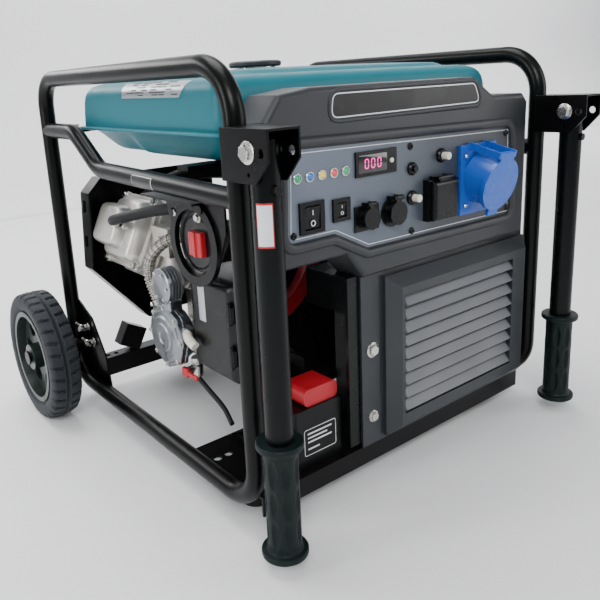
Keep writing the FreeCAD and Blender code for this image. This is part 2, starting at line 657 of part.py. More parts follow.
def flap_hinge(tag, x, y, z, half, reach):
    """A lid's hinge: two round cheeks on webs that reach back to the socket, and their pin."""
    pieces = [rod(tag + "_pin", "X", ("%s - %s - 3" % (x, half), y, z), "2.6",
                  "2*(%s) + 6" % half)]
    for i, start in enumerate(("%s - %s - 3.4" % (x, half), "%s + %s + 0.4" % (x, half))):
        pieces.append(rod("%s_lug_%d" % (tag, i), "X", (start, y, z), "6", "3"))
        pieces.append(block("%s_web_%d" % (tag, i), (start, y, z + " - 2"), ("3", reach, "4")))
    return pieces


def flap_ear(tag, x, y, z, half, drop):
    """The knuckle on a lid: a bored barrel with a web down to the lid."""
    barrel = rod(tag + "_barrel", "X", ("%s - %s" % (x, half), y, z), "6.4", "2*(%s)" % half)
    web = block(tag + "_ear", ("%s - %s" % (x, half), y + " - 2", "%s - %s" % (z, drop)),
                ("2*(%s)" % half, "4", drop))
    bore = rod(tag + "_ear_bore", "X", ("%s - %s - 1" % (x, half), y, z), "2.7",
               "2*(%s) + 2" % half)
    return [barrel, web], bore


def accessory_sockets():
    """The square charging socket and the round twelve volt socket, each with a hinged cap."""
    base = block("usb_flange", ("usb_x - 21", "panel_front - 2", "usb_z - 16"), ("42", "2.2", "32"))
    barrel = rod("usb_barrel", "Y", ("usb_x", "panel_front - 8", "usb_z"), "26", "36")
    well = rod("usb_well", "Y", ("usb_x", "panel_front - 9", "usb_z"), "20", "26")
    usb_hinge = flap_hinge("usb", "usb_x", "panel_front - 10", "usb_z + 18", "4", "10")
    usb = cut("usb_socket", fuse("usb_joined", [base, barrel] + usb_hinge), [well])
    ring = rod("dc_flange", "Y", ("dc_x", "panel_front - 3", "dc_z"), "38", "3.2")
    tube = rod("dc_barrel", "Y", ("dc_x", "panel_front - 10", "dc_z"), "28", "44")
    bore = rod("dc_well", "Y", ("dc_x", "panel_front - 11", "dc_z"), "21", "36")
    dc_hinge = flap_hinge("dc", "dc_x", "panel_front - 12", "dc_z + 20", "5", "12")
    dc = cut("dc_socket", fuse("dc_joined", [ring, tube] + dc_hinge), [bore])
    keep("accessory_sockets", group("accessory_sockets", [usb, dc]))
    for name, x, z, proud, diameter in (("usb_cap", "usb_x", "usb_z", "8", "28"),
                                        ("dc_cap", "dc_x", "dc_z", "10", "31")):
        disc = rod(name + "_disc", "Y", (x, "panel_front - %s - 4" % proud, z), diameter, "3.7")
        rise, half = ("18", "4") if name == "usb_cap" else ("20", "5")
        knuckle, ear_bore = flap_ear(name, x, "panel_front - %s - 2" % proud,
                                     "%s + %s" % (z, rise), half, "7")
        keep(name, cut(name, fuse(name + "_joined", [disc] + knuckle), [ear_bore]))


def schuko_socket():
    """The square mains socket with its contact well and the sprung lid hinged above."""
    half = "schuko_size/2"
    flange = block("schuko_flange", ("schuko_x - " + half, "panel_front - 10",
                                     "schuko_z - " + half),
                   ("schuko_size", "10.2", "schuko_size"))
    body = block("schuko_body", ("schuko_x - %s + 6" % half, "panel_front",
                                 "schuko_z - %s + 6" % half),
                 ("schuko_size - 12", "32", "schuko_size - 12"))
    well = rod("schuko_well", "Y", ("schuko_x", "panel_front - 11", "schuko_z"), "39", "28")
    pins = [rod("schuko_pin_%d" % i, "Y", ("schuko_x + %d" % x, "panel_front - 5", "schuko_z"),
                "5", "34") for i, x in enumerate((-9, 9))]
    hinge = flap_hinge("schuko", "schuko_x", "panel_front - 14", "schuko_z + 29.5", "12", "14")
    keep("schuko_socket", cut("schuko_socket", fuse("schuko_case", [flange, body] + hinge),
                              [well] + pins))
    lid = soften("schuko_lid_plate",
                 block("schuko_lid_blank", ("schuko_x - %s + 2" % half, "panel_front - 19",
                                            "schuko_z - %s + 1" % half),
                       ("schuko_size - 4", "8.6", "schuko_size - 3")),
                 5, at("Y", size("panel_front") - 19))
    knuckle, bore = flap_ear("schuko_lid", "schuko_x", "panel_front - 14", "schuko_z + 29.5",
                             "12", "5")
    keep("schuko_lid", cut("schuko_lid", fuse("schuko_lid_joined", [lid] + knuckle), [bore]))


def cee_socket():
    """The three-pole camping-type outlet: a flanged blue body with a slanted round mouth."""
    flange = block("cee_flange", ("cee_x - cee_wide/2", "panel_front - 5", "cee_z - cee_tall/2"),
                   ("cee_wide", "5.2", "cee_tall"))
    back = block("cee_back", ("cee_x - cee_wide/2 + 7", "panel_front", "cee_z - cee_tall/2 + 8"),
                 ("cee_wide - 14", "40", "cee_tall - 16"))
    tilt = FreeCAD.Rotation(FreeCAD.Vector(1, 0, 0), 90 + 14)
    centre = vec("cee_x", "panel_front - 2", "cee_z + 3")
    axis = tilt.multVec(FreeCAD.Vector(0, 0, 1))
    snout = feature("cee_snout", Part.makeCylinder(35, 34, centre, axis))
    mouth = feature("cee_mouth", Part.makeCylinder(28, 60, centre - axis * 10, axis))
    core = feature("cee_core", Part.makeCylinder(21, 32, centre - axis * 10, axis))
    pins = []
    for turn in (90, 210, 330):
        spot = tilt.multVec(FreeCAD.Vector(12 * math.cos(math.radians(turn)),
                                           12 * math.sin(math.radians(turn)), 0))
        pins.append(feature("cee_pin_%d" % turn,
                            Part.makeCylinder(3.4, 40, centre + spot - axis * 2, axis)))
    hollow = cut("cee_hollow", mouth, [core])
    up = tilt.multVec(FreeCAD.Vector(0, 1, 0))
    hinge_at = centre + axis * 38 + up * 43
    arms = [feature("cee_hinge_pin", Part.makeCylinder(1.6, 38, hinge_at - FreeCAD.Vector(19, 0, 0),
                                                       FreeCAD.Vector(1, 0, 0)))]
    for start in (-19, 15.4):
        arm = Part.makeBox(3.6, 9, 52, FreeCAD.Vector(start, 38.5, -11))
        arms.append(feature("cee_arm_%d" % (start > 0), arm))
        arms[-1].Placement = FreeCAD.Placement(centre, tilt)
    keep("cee_socket", cut("cee_socket", fuse("cee_case", [flange, back, snout] + arms),
                           [hollow] + pins))
    lid_disc = feature("cee_lid_disc", Part.makeCylinder(38, 7, centre + axis * 34.4, axis))
    tab_place = FreeCAD.Placement(centre + axis * 34.4 - up * 46, tilt)
    tab = feature("cee_lid_tab", Part.makeBox(22, 14, 5, FreeCAD.Vector(-11, 0, 0)))
    tab.Placement = tab_place
    ear = feature("cee_lid_ear", Part.makeBox(30, 12, 7, FreeCAD.Vector(-15, 34, 34.4)))
    ear.Placement = FreeCAD.Placement(centre, tilt)
    ear_bore = feature("cee_ear_bore", Part.makeCylinder(1.66, 40, hinge_at
                                                         - FreeCAD.Vector(20, 0, 0),
                                                         FreeCAD.Vector(1, 0, 0)))
    keep("cee_lid", cut("cee_lid", fuse("cee_lid_joined", [lid_disc, tab, ear]), [ear_bore]))


def inverter_cover():
    """The moulded cover: a flange, a bevelled raised panel and its field of tilted slats."""
    flange = block("cover_flange", ("cover_left", "cover_back", "cover_low"),
                   ("cover_right - cover_left", "4", "cover_high - cover_low"))
    raised = block("cover_raised", ("cover_left + 40", "cover_face", "cover_low + 6"),
                   ("cover_right - cover_left - 44", "cover_back - cover_face + 4",
                    "cover_high - cover_low - 12"))
    bevelled = soften("cover_bevelled", raised, 16, at("Y", size("cover_face")), "Part::Chamfer")
    inside = block("cover_inside", ("cover_left + 58", "cover_face + slat_depth + 3",
                                    "cover_low + 24"),
                   ("cover_right - cover_left - 80", "20", "cover_high - cover_low - 48"))
    field = block("slat_field", ("slat_left", "cover_face - 1", "slat_low"),
                  ("slat_right - slat_left", "slat_depth + 1", "slat_high - slat_low"))
    shell = cut("cover_hollow", fuse("cover_joined", [flange, bevelled]), [inside, field])
    slats = []
    count = 9
    pitch = (size("slat_high") - size("slat_low")) / count
    for i in range(count):
        slat = feature("slat_%d" % i, Part.makeBox(size("slat_right") - size("slat_left"),
                                                   15, 2.6))
        level = size("slat_low") + pitch * (i + 0.16)
        slat.Placement = FreeCAD.Placement(
            FreeCAD.Vector(size("slat_left"), size("cover_face") + 0.6, level),
            FreeCAD.Rotation(FreeCAD.Vector(1, 0, 0), 52))
        slats.append(slat)
    return keep("inverter_cover", fuse("inverter_cover", [shell] + slats))


def inverter_housing():
    """The black box behind the cover that holds the inverter: a deep top and a shallower body."""
    top = block("box_top", ("-118", "cover_back + 4", "249"), ("368", "81", "48.8"))
    body = block("box_body", ("-50", "cover_back + 4", "56"), ("300", "100", "194"))
    side = block("box_side", ("-118", "cover_back + 4", "56"), ("70", "6", "194"))
    case = fuse("box_case", [top, body, side])
    fins = [block("box_fin_%d" % i, ("-38 + %d*24" % i, "cover_back + 98", "70"),
                  ("12", "12", "166")) for i in range(12)]
    return keep("inverter_housing", cut("inverter_housing", case, fins))


def battery():
    """The starter battery on the base, with the red boot over its terminal."""
    case = soften("battery_case", block("battery_box", ("-203", "-252", "tray_top + 0.2"),
                                        ("82", "118", "83.4")), 3, along("Z"))
    keep("battery", case)
    boot = soften("boot_round", block("boot_block", ("-184", "-248", "tray_top + 83.8"),
                                      ("58", "44", "24")), 8, along("Y"))
    keep("terminal_cover", boot)


def lean_frame():
    """The direction of the leaning cylinder, and the rotation that lays Z along it."""
    angle = math.radians(180 - size("lean"))
    outward = FreeCAD.Vector(math.cos(angle), 0, math.sin(angle))
    turn = FreeCAD.Rotation(FreeCAD.Vector(0, 0, 1), outward)
    return outward, turn


def leaning_block(name, wide, tall, start, stop, round_off=0):
    """A block round the cylinder's axis, from one distance out from the crank to another."""
    outward, turn = lean_frame()
    across = FreeCAD.Vector(0, 1, 0)
    up = outward.cross(across) * -1
    centre = vec("crank_x", "cylinder_y", "crank_z")
    corner = centre + outward * start - across * (wide / 2) - up * (tall / 2)
    box = Part.makeBox(tall, wide, stop - start)
    if round_off:
        upright = [e for e in box.Edges if abs((e.Vertexes[1].Point - e.Vertexes[0].Point).z) > 1]
        box = box.makeFillet(round_off, upright)
    piece = feature(name, box)
    piece.Placement = FreeCAD.Placement(corner, FreeCAD.Rotation(up, across, outward, "ZXY"))
    return piece


def engine():
    """Crankcase, finned cylinder and head, valve cover, shroud, muffler and alternator."""
    case = soften("case_round", block("case_block", ("crank_x - 86", "alt_back + 0.4",
                                                     "crank_z - 118"), ("172", "175", "190")),
                  22, along("Y"))
    foot = block("case_foot", ("crank_x - 150", "alt_back + 20", "crank_z - 127"),
                 ("300", "176", "12"))
    barrel = leaning_block("case_barrel", 130, 130, 40, 128, 16)
    crankcase = keep("crankcase", fuse("crankcase", [case, foot, barrel]))
    fins = [leaning_block("fin_%d" % i, 132, 136, 131 + i * 11, 136 + i * 11, 12)
            for i in range(8)]
    core = leaning_block("cylinder_core", 100, 104, 128.4, size("head_reach") - 44, 20)
    head = leaning_block("head_block", 112, 118, size("head_reach") - 50,
                         size("head_reach") - 30, 12)
    finned = fuse("cylinder_finned", [core, head] + fins)
    finned_head = keep("cylinder_head", cut("cylinder_head", finned, [crankcase]))
    outer = leaning_block("cover_rim", 116, 122, size("head_reach") - 29.6,
                          size("head_reach") - 22, 14)
    dome = leaning_block("cover_dome", size("vc_wide") - 6, size("vc_tall") - 8,
                         size("head_reach") - 23, size("head_reach"), 16)
    crown = leaning_block("cover_crown", size("vc_wide") - 26, size("vc_tall") - 44,
                          size("head_reach") - 1, size("crown_reach"), 12)
    outward = lean_frame()[0]
    port_start = (vec("crank_x", "cylinder_y + 6", "crank_z + 4")
                  + outward * (size("crown_reach") - 1))
    port = feature("cover_port", Part.makeCylinder(8, 14, port_start, outward))
    rocker_cover = keep("valve_cover", fuse("valve_cover", [outer, dome, crown, port]))
    plate = outline("shield_plate", "XZ", "-243", "3",
                    [("-168", "140"), ("-136", "133"), ("10", "133"), ("10", "404"),
                     ("-232", "404"), ("-256", "380"), ("-264", "250")])
    edge = outline("shield_edge", "XZ", "-243", "34",
                   [("-264", "250"), ("-261", "250"), ("-253", "379"), ("-230", "401"),
                    ("-200", "401"), ("-200", "404"), ("-232", "404"), ("-256", "380")])
    low = outline("shield_low", "XZ", "-243", "34",
                  [("-264", "250"), ("-168", "140"), ("-136", "133"), ("-136", "136"),
                   ("-166", "143"), ("-261", "251")])
    slots = [block("shield_slot_%d" % i, ("-300", "222", z), ("60", "12", "22"))
             for i, z in enumerate(("285", "345"))]
    keep("cooling_shroud", cut("cooling_shroud", fuse("shield", [plate, edge, low]), slots))
    can = soften("muffler_can", block("muffler_block", ("70", "96", "308"), ("176", "136", "116")),
                 24, along("X"))
    pipe = rod("muffler_outlet", "Y", ("220", "230", "330"), "30", "26")
    route = [FreeCAD.Vector(*p) for p in ((-178, 203, 312), (-160, 222, 344), (-104, 224, 380),
                                          (-36, 212, 392), (30, 188, 384), (84, 170, 366))]
    header = feature("muffler_header", swept(path(route, smooth_bends(route)), 26))
    keep("muffler", cut("muffler", fuse("muffler_joined", [can, pipe, header]),
                        [finned_head]))
    return finned_head, rocker_cover


def carburettor(neighbours):
    """The carburettor on the head's intake side, with its bowl and the duct to the filter."""
    body = block("carb_body", ("-206", "40", "288"), ("46", "52", "46"))
    bowl = rod("carb_bowl", "Z", ("-183", "62", "262"), "38", "27")
    throttle = rod("carb_lever", "X", ("-214", "60", "316"), "12", "10")
    route = [FreeCAD.Vector(*p) for p in ((-186, 42, 311), (-186, 8, 308), (-188, -26, 296),
                                          (-192, -52, 276), (-196, -74.5, 262))]
    duct = feature("carb_duct", swept(path(route, smooth_bends(route)), 34))
    keep("carburettor", cut("carburettor", fuse("carb_joined", [body, bowl, throttle, duct]),
                            neighbours))


def alternator():
    """The finned alternator drum in front of the engine, open inside for the rotor."""
    drum = rod("drum", "Y", ("crank_x", "alt_front", "crank_z"), "alt_dia", "alt_back - alt_front")
    room = rod("drum_room", "Y", ("crank_x", "alt_front + 8", "crank_z"), "alt_dia - 40",
               "alt_back - alt_front - 16")
    shaft_hole = rod("drum_bore", "Y", ("crank_x", "alt_front - 1", "crank_z"), "30.1",
                     "alt_back - alt_front + 2")
    vents = []
    for i in range(8):
        angle = math.radians(45 * i + 22)
        vents.append(rod("vent_%d" % i, "Y",
                         ("crank_x + %.4f" % (70 * math.cos(angle)), "alt_front - 1",
                          "crank_z + %.4f" % (70 * math.sin(angle))), "26", "12"))
    foot = block("drum_foot", ("crank_x - 100", "alt_front - 40", "crank_z - 127"),
                 ("200", "90", "12"))
    riser = block("drum_riser", ("crank_x - 70", "alt_front", "crank_z - 116"),
                  ("140", "60", "20"))
    shell = cut("drum_shell", fuse("drum_solid", [drum, foot, riser]),
                [room, shaft_hole] + vents)
    keep("alternator_housing", shell)
    rotor = rod("rotor_drum", "Y", ("crank_x", "alt_front + 14", "crank_z"), "alt_dia - 48",
                "alt_back - alt_front - 28")
    shaft = rod("rotor_shaft", "Y", ("crank_x", "alt_front - 4", "crank_z"), "30",
                "alt_back - alt_front + 4")
    keep("rotor", fuse("rotor", [rotor, shaft]))
    centre = FreeCAD.Vector(-150, -118, 318)
    ring = Part.makeCylinder(122, 16, centre, FreeCAD.Vector(0, 1, 0))
    ring = ring.cut(Part.makeCylinder(98, 16, centre, FreeCAD.Vector(0, 1, 0)))
    keep_in = Part.makeBox(130, 30, 120, FreeCAD.Vector(-150, -125, 186))
    guide = feature("guide_arc", ring.common(keep_in))
    keep("air_guide", guide)


def air_filter():
    """The tall air filter box, with the plate over it that carries the selector's ring."""
    box = soften("filter_round", block("filter_block", ("filter_left", "filter_front", "filter_low"),
                                       ("filter_right - filter_left", "filter_back - filter_front",
                                        "filter_high - filter_low")), 14, along("X"))
    filter_box = keep("air_filter_box", box)
    plate = outline("bracket_plate", "YZ", "bracket_x - 3", "3",
                    [("-196", "412"), ("-48", "412"), ("-60", "372"), ("-66", "330"),
                     ("-90", "299"), ("-121", "290"), ("-152", "299"), ("-176", "330"),
                     ("-196", "372")])
    flange = block("bracket_flange", ("-294", "-190", "410.6"), ("44.5", "130", "2.6"))
    ring = turned("bracket_ring", "X", ("bracket_x - 7", "ring_y", "ring_z"),
                  [("ring_in", "0"), ("ring_out", "0"), ("ring_out", "7"), ("ring_in", "7")])
    opening = rod("bracket_opening", "X", ("bracket_x - 30", "ring_y", "ring_z"), "2*ring_in", "60")
    bolts = [rod("bracket_bolt_%d" % i, "X", ("bracket_x - 9", y, z), "12", "12")
             for i, (y, z) in enumerate((("-74", "384"), ("-146", "396")))]
    holed = cut("bracket_holed", plate, [opening])
    keep("filter_bracket", fuse("filter_bracket", [holed, flange, ring] + bolts))
    dial = rod("selector_dial", "X", ("bracket_x - 2", "ring_y", "ring_z"), "2*ring_in - 3", "6")
    blade = block("selector_blade", ("bracket_x - 8", "ring_y - 11", "ring_z - 34"),
                  ("8", "34", "62"))
    spindle = rod("selector_spindle", "X", ("bracket_x + 3", "ring_y", "ring_z"), "10", "24")
    keep("fuel_selector", fuse("fuel_selector", [dial, blade, spindle]))
    return filter_box


def gas_parts(rocker_cover):
    """The gas regulator, its ribbed hose, the crankcase breather hose and the fuel valve."""
    low = turned("regulator_low", "X", ("-262", "-22", "191"),
                 [("0", "0"), ("36", "0"), ("44", "5"), ("44", "13"), ("38", "15"), ("34", "34"),
                  ("0", "34")])
    high = turned("regulator_high", "X", ("-260", "-21", "268"),
                  [("0", "0"), ("18", "0"), ("26", "6"), ("26", "26"), ("0", "26")])
    neck = block("regulator_neck", ("-254", "-34", "205"), ("22", "34", "50"))
    spigot = rod("regulator_spigot", "Z", ("-246", "6", "200"), "16", "34")
    link = block("regulator_link", ("-250", "filter_back + 0.2", "190"), ("16", "40", "16"))
    regulator = keep("gas_regulator", fuse("gas_regulator", [low, high, neck, spigot, link]))
    ribbed = [FreeCAD.Vector(*p) for p in ((-246, 6, 234), (-247, 24, 256), (-247, 32, 284),
                                           (-244, 14, 314), (-232, -14, 330), (-214, -30, 336))]
    ribbed_tube = feature("gas_hose_tube", swept(path(ribbed, smooth_bends(ribbed)), 18))
    keep("gas_hose", cut("gas_hose", ribbed_tube, [regulator]))
    outward = lean_frame()[0]
    start = vec("crank_x", "cylinder_y + 6", "crank_z + 4") + outward * (size("crown_reach") + 8)
    breather = [start, FreeCAD.Vector(-252, 128, 344), FreeCAD.Vector(-244, 86, 356),
                FreeCAD.Vector(-228, 44, 366), FreeCAD.Vector(-212, 2, 373),
                FreeCAD.Vector(-196, -38, 377)]
    breather_tube = feature("breather_tube", swept(path(breather, smooth_bends(breather)), 17))
    keep("breather_hose", cut("breather_hose", breather_tube, [rocker_cover]))
    body = rod("valve_body", "Z", ("-226", "-52", "124"), "20", "36")
    knob = rod("valve_knob", "X", ("-244", "-52", "132"), "16", "12")
    drain = [FreeCAD.Vector(*p) for p in ((-226, -52, 126), (-222, -78, 110), (-222, -112, 96),
                                          (-228, -140, 84))]
    tube = feature("drain_tube", swept(path(drain, smooth_bends(drain)), 7))
    keep("fuel_valve", fuse("fuel_valve", [body, knob, tube]))


def smooth_bends(points):
    """For each corner the largest radius that its two runs allow."""
    radii = []
    for before, corner, after in zip(points, points[1:], points[2:]):
        turn = (corner - before).getAngle(after - corner)
        shorter = min((corner - before).Length, (after - corner).Length)
        radii.append(0.45 * shorter / math.tan(turn / 2))
    print("bend radii", ["%.0f" % radius for radius in radii])
    return radii


def fasteners():
    """Pivot bolts with nuts, wing bolts, tank bolts, and the panel's and covers' screws."""
    pieces = []
    for side in (-1, 1):
        tag = "left" if side < 0 else "right"
        x = "%d*handle_x" % side
        shank = rod(tag + "_pivot_shank", "X", (x + " - cheek_out - 6", "handle_y", "pivot_z"),
                    "pivot_dia", "2*cheek_out + 12")
        head = rod(tag + "_pivot_head", "X", (x + " - cheek_out - 6", "handle_y", "pivot_z"),
                   "17", "5.8")
        nut = rod(tag + "_pivot_nut", "X", (x + " + cheek_out + 0.2", "handle_y", "pivot_z"),
                  "17", "8")
        pieces.append(fuse(tag + "_pivot_bolt", [shank, head, nut]))
        for i, (y, z) in enumerate((("230", "144"), ("211", "121"))):
            wing = rod("%s_wing_%d" % (tag, i), "X",
                       ("-side_x - 8" if side < 0 else "side_x - 9", y, z), "13", "17")
            pieces.append(wing)
        tank_x = "-tank_half - seam_lip - 1" if side < 0 else "tank_half + 1"
        pieces.append(rod(tag + "_tank_bolt", "Z",
                          (tank_x + " + 4", "tank_rear + 19", "seam_z - 2"), "12", "7"))
    screws = (("-16", "457"), ("194", "456"), ("204", "343"), ("-216", "374"), ("-13", "345"))
    for i, (x, z) in enumerate(screws):
        pieces.append(rod("panel_screw_%d" % i, "Y", (x, "panel_front - 2.6", z), "7", "2.6"))
    for i, (x, z) in enumerate((("cee_x - 31", "cee_z + 34"), ("cee_x - 31", "cee_z - 36"),
                                ("cee_x + 31", "cee_z + 36"), ("cee_x + 31", "cee_z - 36"))):
        pieces.append(rod("cee_screw_%d" % i, "Y", (x, "panel_front - 7", z), "6", "2"))
    for i, (z, wide) in enumerate((("92", "13"), ("190", "19"))):
        pieces.append(rod("cover_screw_%d" % i, "Y", ("-78", "cover_back - 5", z), wide, "5"))
    outward = lean_frame()[0]
    across = FreeCAD.Vector(0, 1, 0)
    up = outward.cross(across) * -1
    base = vec("crank_x", "cylinder_y", "crank_z") + outward * (size("head_reach") - 22)
    for i, (u, v) in enumerate(((-51, -54), (51, -54), (-51, 54), (51, 54))):
        pieces.append(feature("valve_cover_bolt_%d" % i,
                              Part.makeCylinder(5.5, 9, base + across * u + up * v, outward)))
    return keep("fasteners", group("fasteners", pieces))


def rubber_mounts():
    """Two feet under the base's front corners and four rubber mounts under the engine."""
    pieces = []
    for side in (-1, 1):
        tag = "left" if side < 0 else "right"
        foot = turned(tag + "_foot", "Z", ("%d*foot_x" % side, "foot_y", "0"),
                      [("0", "0"), ("foot_dia/2 - 2", "0"), ("foot_dia/2", "2"),
                       ("foot_dia/2 - 6", "tray_top - sheet"), ("0", "tray_top - sheet")])
        pieces.append(foot)
        pieces.append(rod(tag + "_front_mount", "Z", ("crank_x + %d*80" % side, "alt_front - 24",
                                                      "tray_top"),
                          "34", "crank_z - 127 - tray_top"))
        pieces.append(rod(tag + "_rear_mount", "Z", ("crank_x + %d*130" % side, "beam_front + 6",
                                                     "beam_high"),
                          "30", "crank_z - 127 - beam_high"))
    return keep("rubber_mounts", group("rubber_mounts", pieces))


def write_parts():
    """Checks every object, then writes each node's solids."""
    doc.recompute()
    for thing in doc.Objects:
        if "Invalid" in thing.State or "Error" in thing.State:
            raise RuntimeError("%s failed: %s" % (thing.Name, thing.State))
    for name, thing in nodes:
        shape = thing.Shape
        if shape.isNull() or not shape.isValid() or not shape.Solids:
            raise RuntimeError("%s has no valid solid" % name)
    for name, thing in nodes:
        thing.Shape.exportStep("parts/%s.step" % name)
    print(len(nodes), "nodes")


frames = [side_frame(-1), side_frame(1)]
front_tray()
rear_crossmember(frames)
for hand in (-1, 1):
    wheel(hand)
    folding_handle(hand)
handle_brackets(frames)
fuel_tank()
fuel_cap()
tank_supports()
panel_housing()
control_plates()
indicator_lamps()
output_meter()
switches()
push_buttons()
accessory_sockets()
schuko_socket()
cee_socket()
inverter_cover()
inverter_housing()
battery()
finned_head, rocker_cover = engine()
alternator()
filter_box = air_filter()
carburettor([finned_head, rocker_cover, filter_box])
gas_parts(rocker_cover)
fasteners()
rubber_mounts()
write_parts()
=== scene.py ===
# %% [markdown]
# # A portable generator
# A welded tube frame carries an engine, an alternator, a pressed fuel tank and a moulded control
# panel.  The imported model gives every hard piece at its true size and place.  This script gives
# each piece its finish, and replaces the plain ones with shapes worked out on numpy grids.

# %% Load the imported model
import math
import bpy
import numpy as np
from mathutils import Matrix, Vector


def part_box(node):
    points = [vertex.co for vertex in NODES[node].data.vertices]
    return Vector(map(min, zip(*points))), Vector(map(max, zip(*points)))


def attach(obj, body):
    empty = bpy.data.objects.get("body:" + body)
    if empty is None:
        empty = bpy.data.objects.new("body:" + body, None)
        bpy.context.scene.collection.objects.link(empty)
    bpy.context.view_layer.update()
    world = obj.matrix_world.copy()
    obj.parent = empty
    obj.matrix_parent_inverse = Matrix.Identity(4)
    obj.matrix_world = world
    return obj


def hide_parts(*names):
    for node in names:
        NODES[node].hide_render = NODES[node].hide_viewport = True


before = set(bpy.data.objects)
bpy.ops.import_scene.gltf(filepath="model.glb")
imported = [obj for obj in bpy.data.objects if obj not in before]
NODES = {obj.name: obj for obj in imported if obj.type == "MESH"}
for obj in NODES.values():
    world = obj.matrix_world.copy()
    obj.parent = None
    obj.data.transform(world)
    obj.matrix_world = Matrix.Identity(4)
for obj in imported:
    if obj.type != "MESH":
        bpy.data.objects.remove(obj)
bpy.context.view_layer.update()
MM = 0.001

# %% [markdown]
# ## Camera
# The view is a three-quarter one from the front left, a little above the tank.  The lens sits off
# the middle of the frame, so a small shift stands for that.

# %% Camera
VIEW_AZIMUTH, VIEW_ELEVATION, VIEW_ROLL = -36.965, 14.64, -3.055
VIEW_PLACE, VIEW_SHIFT, LENS_MM = (-0.6898, -0.8630, 0.5500), (0.05, -0.075), 40.32


def camera_turn(azimuth, elevation, roll):
    """Columns are the view's right, up and back; roll turns right and up about the view line."""
    a, e, r = (math.radians(angle) for angle in (azimuth, elevation, roll))
    ahead = Vector((-math.sin(a) * math.cos(e), math.cos(a) * math.cos(e), -math.sin(e)))
    right = ahead.cross(Vector((0, 0, 1))).normalized()
    up = right.cross(ahead)
    tilted_right = right * math.cos(r) + up * math.sin(r)
    tilted_up = up * math.cos(r) - right * math.sin(r)
    return Matrix((tilted_right, tilted_up, -ahead)).transposed()


camera_data = bpy.data.cameras.new("studio_camera")
camera_data.lens, camera_data.sensor_width = LENS_MM, 36.0
camera_data.shift_x, camera_data.shift_y = VIEW_SHIFT
camera = bpy.data.objects.new("studio_camera", camera_data)
bpy.context.collection.objects.link(camera)
camera.matrix_world = (Matrix.Translation(VIEW_PLACE)
                       @ camera_turn(VIEW_AZIMUTH, VIEW_ELEVATION, VIEW_ROLL).to_4x4())
bpy.context.scene.camera = camera
print("lens", LENS_MM, "mm, looking from", VIEW_PLACE)

# %% Colours and nodes
def linear(code, alpha=1.0):
    """An sRGB hex colour as linear red, green, blue and alpha."""
    parts = np.array([int(code[i:i + 2], 16) for i in (1, 3, 5)]) / 255
    value = np.where(parts <= 0.04045, parts / 12.92, ((parts + 0.055) / 1.055) ** 2.4)
    return (*[float(v) for v in value], alpha)


def add(tree, kind, settings=None, **inputs):
    """Adds one node; an input is a number, a colour or another node's output."""
    node = tree.nodes.new(kind)
    for name, value in (settings or {}).items():
        setattr(node, name, value)
    for name, value in inputs.items():
        socket = node.inputs[int(name[1:])] if name[0] == "i" and name[1:].isdigit() else (
            node.inputs[name.replace("_", " ")])
        if isinstance(value, bpy.types.NodeSocket):
            tree.links.new(value, socket)
        else:
            socket.default_value = value
    return node


def blank_material(name):
    """A material with only its shader and its output, and the piece's own coordinates."""
    material = bpy.data.materials.new(name)
    material.use_nodes = True
    tree = material.node_tree
    shader = tree.nodes["Principled BSDF"]
    place = add(tree, "ShaderNodeTexCoord").outputs["Object"]
    return material, tree, shader, place


print("mid grey as linear light", round(linear("#808080")[0], 3))

# %% [markdown]
# ## Painted steel
# The frame is powder coated: a thick black polyester skin, baked on, that flows into a fine
# orange peel and rounds every edge.  Its gloss is medium, and handling polishes it a little.


# %% Powder coat
def powder_coat(name, code, gloss):
    """Black polyester powder: peel of about 2 mm waves, 0.05 mm deep, drawn coarse to show."""
    material, tree, shader, place = blank_material(name)
    peel = add(tree, "ShaderNodeTexNoise", Vector=place, Scale=520.0, Detail=2.0)
    handled = add(tree, "ShaderNodeTexNoise", Vector=place, Scale=14.0, Detail=4.0)
    rough = add(tree, "ShaderNodeMapRange", Value=handled.outputs[0], i3=gloss - 0.05,
                i4=gloss + 0.09)
    paler = (*[min(1.0, 1.5 * value) for value in linear(code)[:3]], 1.0)
    shade = add(tree, "ShaderNodeMix", {"data_type": "RGBA"}, i0=handled.outputs[0],
                i6=linear(code), i7=paler)
    round_edge = add(tree, "ShaderNodeBevel", {"samples": 4}, Radius=1.2 * MM)
    bump = add(tree, "ShaderNodeBump", Strength=0.08, Distance=0.3 * MM,
               Height=peel.outputs[0], Normal=round_edge.outputs[0])
    tree.links.new(shade.outputs[2], shader.inputs["Base Color"])
    tree.links.new(rough.outputs[0], shader.inputs["Roughness"])
    tree.links.new(bump.outputs[0], shader.inputs["Normal"])
    shader.inputs["Specular IOR Level"].default_value = 0.17
    return material


FRAME_COAT = powder_coat("black_powder_coat", "#040505", 0.28)
# the handles' copy of the black coat is a shade darker than the frame's: painted shade that holds
# down the grey the lamps put on the handle tubes
HANDLE_COAT = powder_coat("handle_powder_coat", "#020505", 0.26)
SHEET_COAT = powder_coat("sheet_powder_coat", "#050506", 0.28)
print("coats:", FRAME_COAT.name, HANDLE_COAT.name, SHEET_COAT.name)

# %% [markdown]
# ## Finishes
# Every finish starts from what the maker used: enamel, moulded plastic, die casting, zinc plate,
# rubber.  A family of finishes differs only in colour, gloss, grain and edge wear, so one recipe
# with those settings serves them all, and the odd ones get nodes of their own.


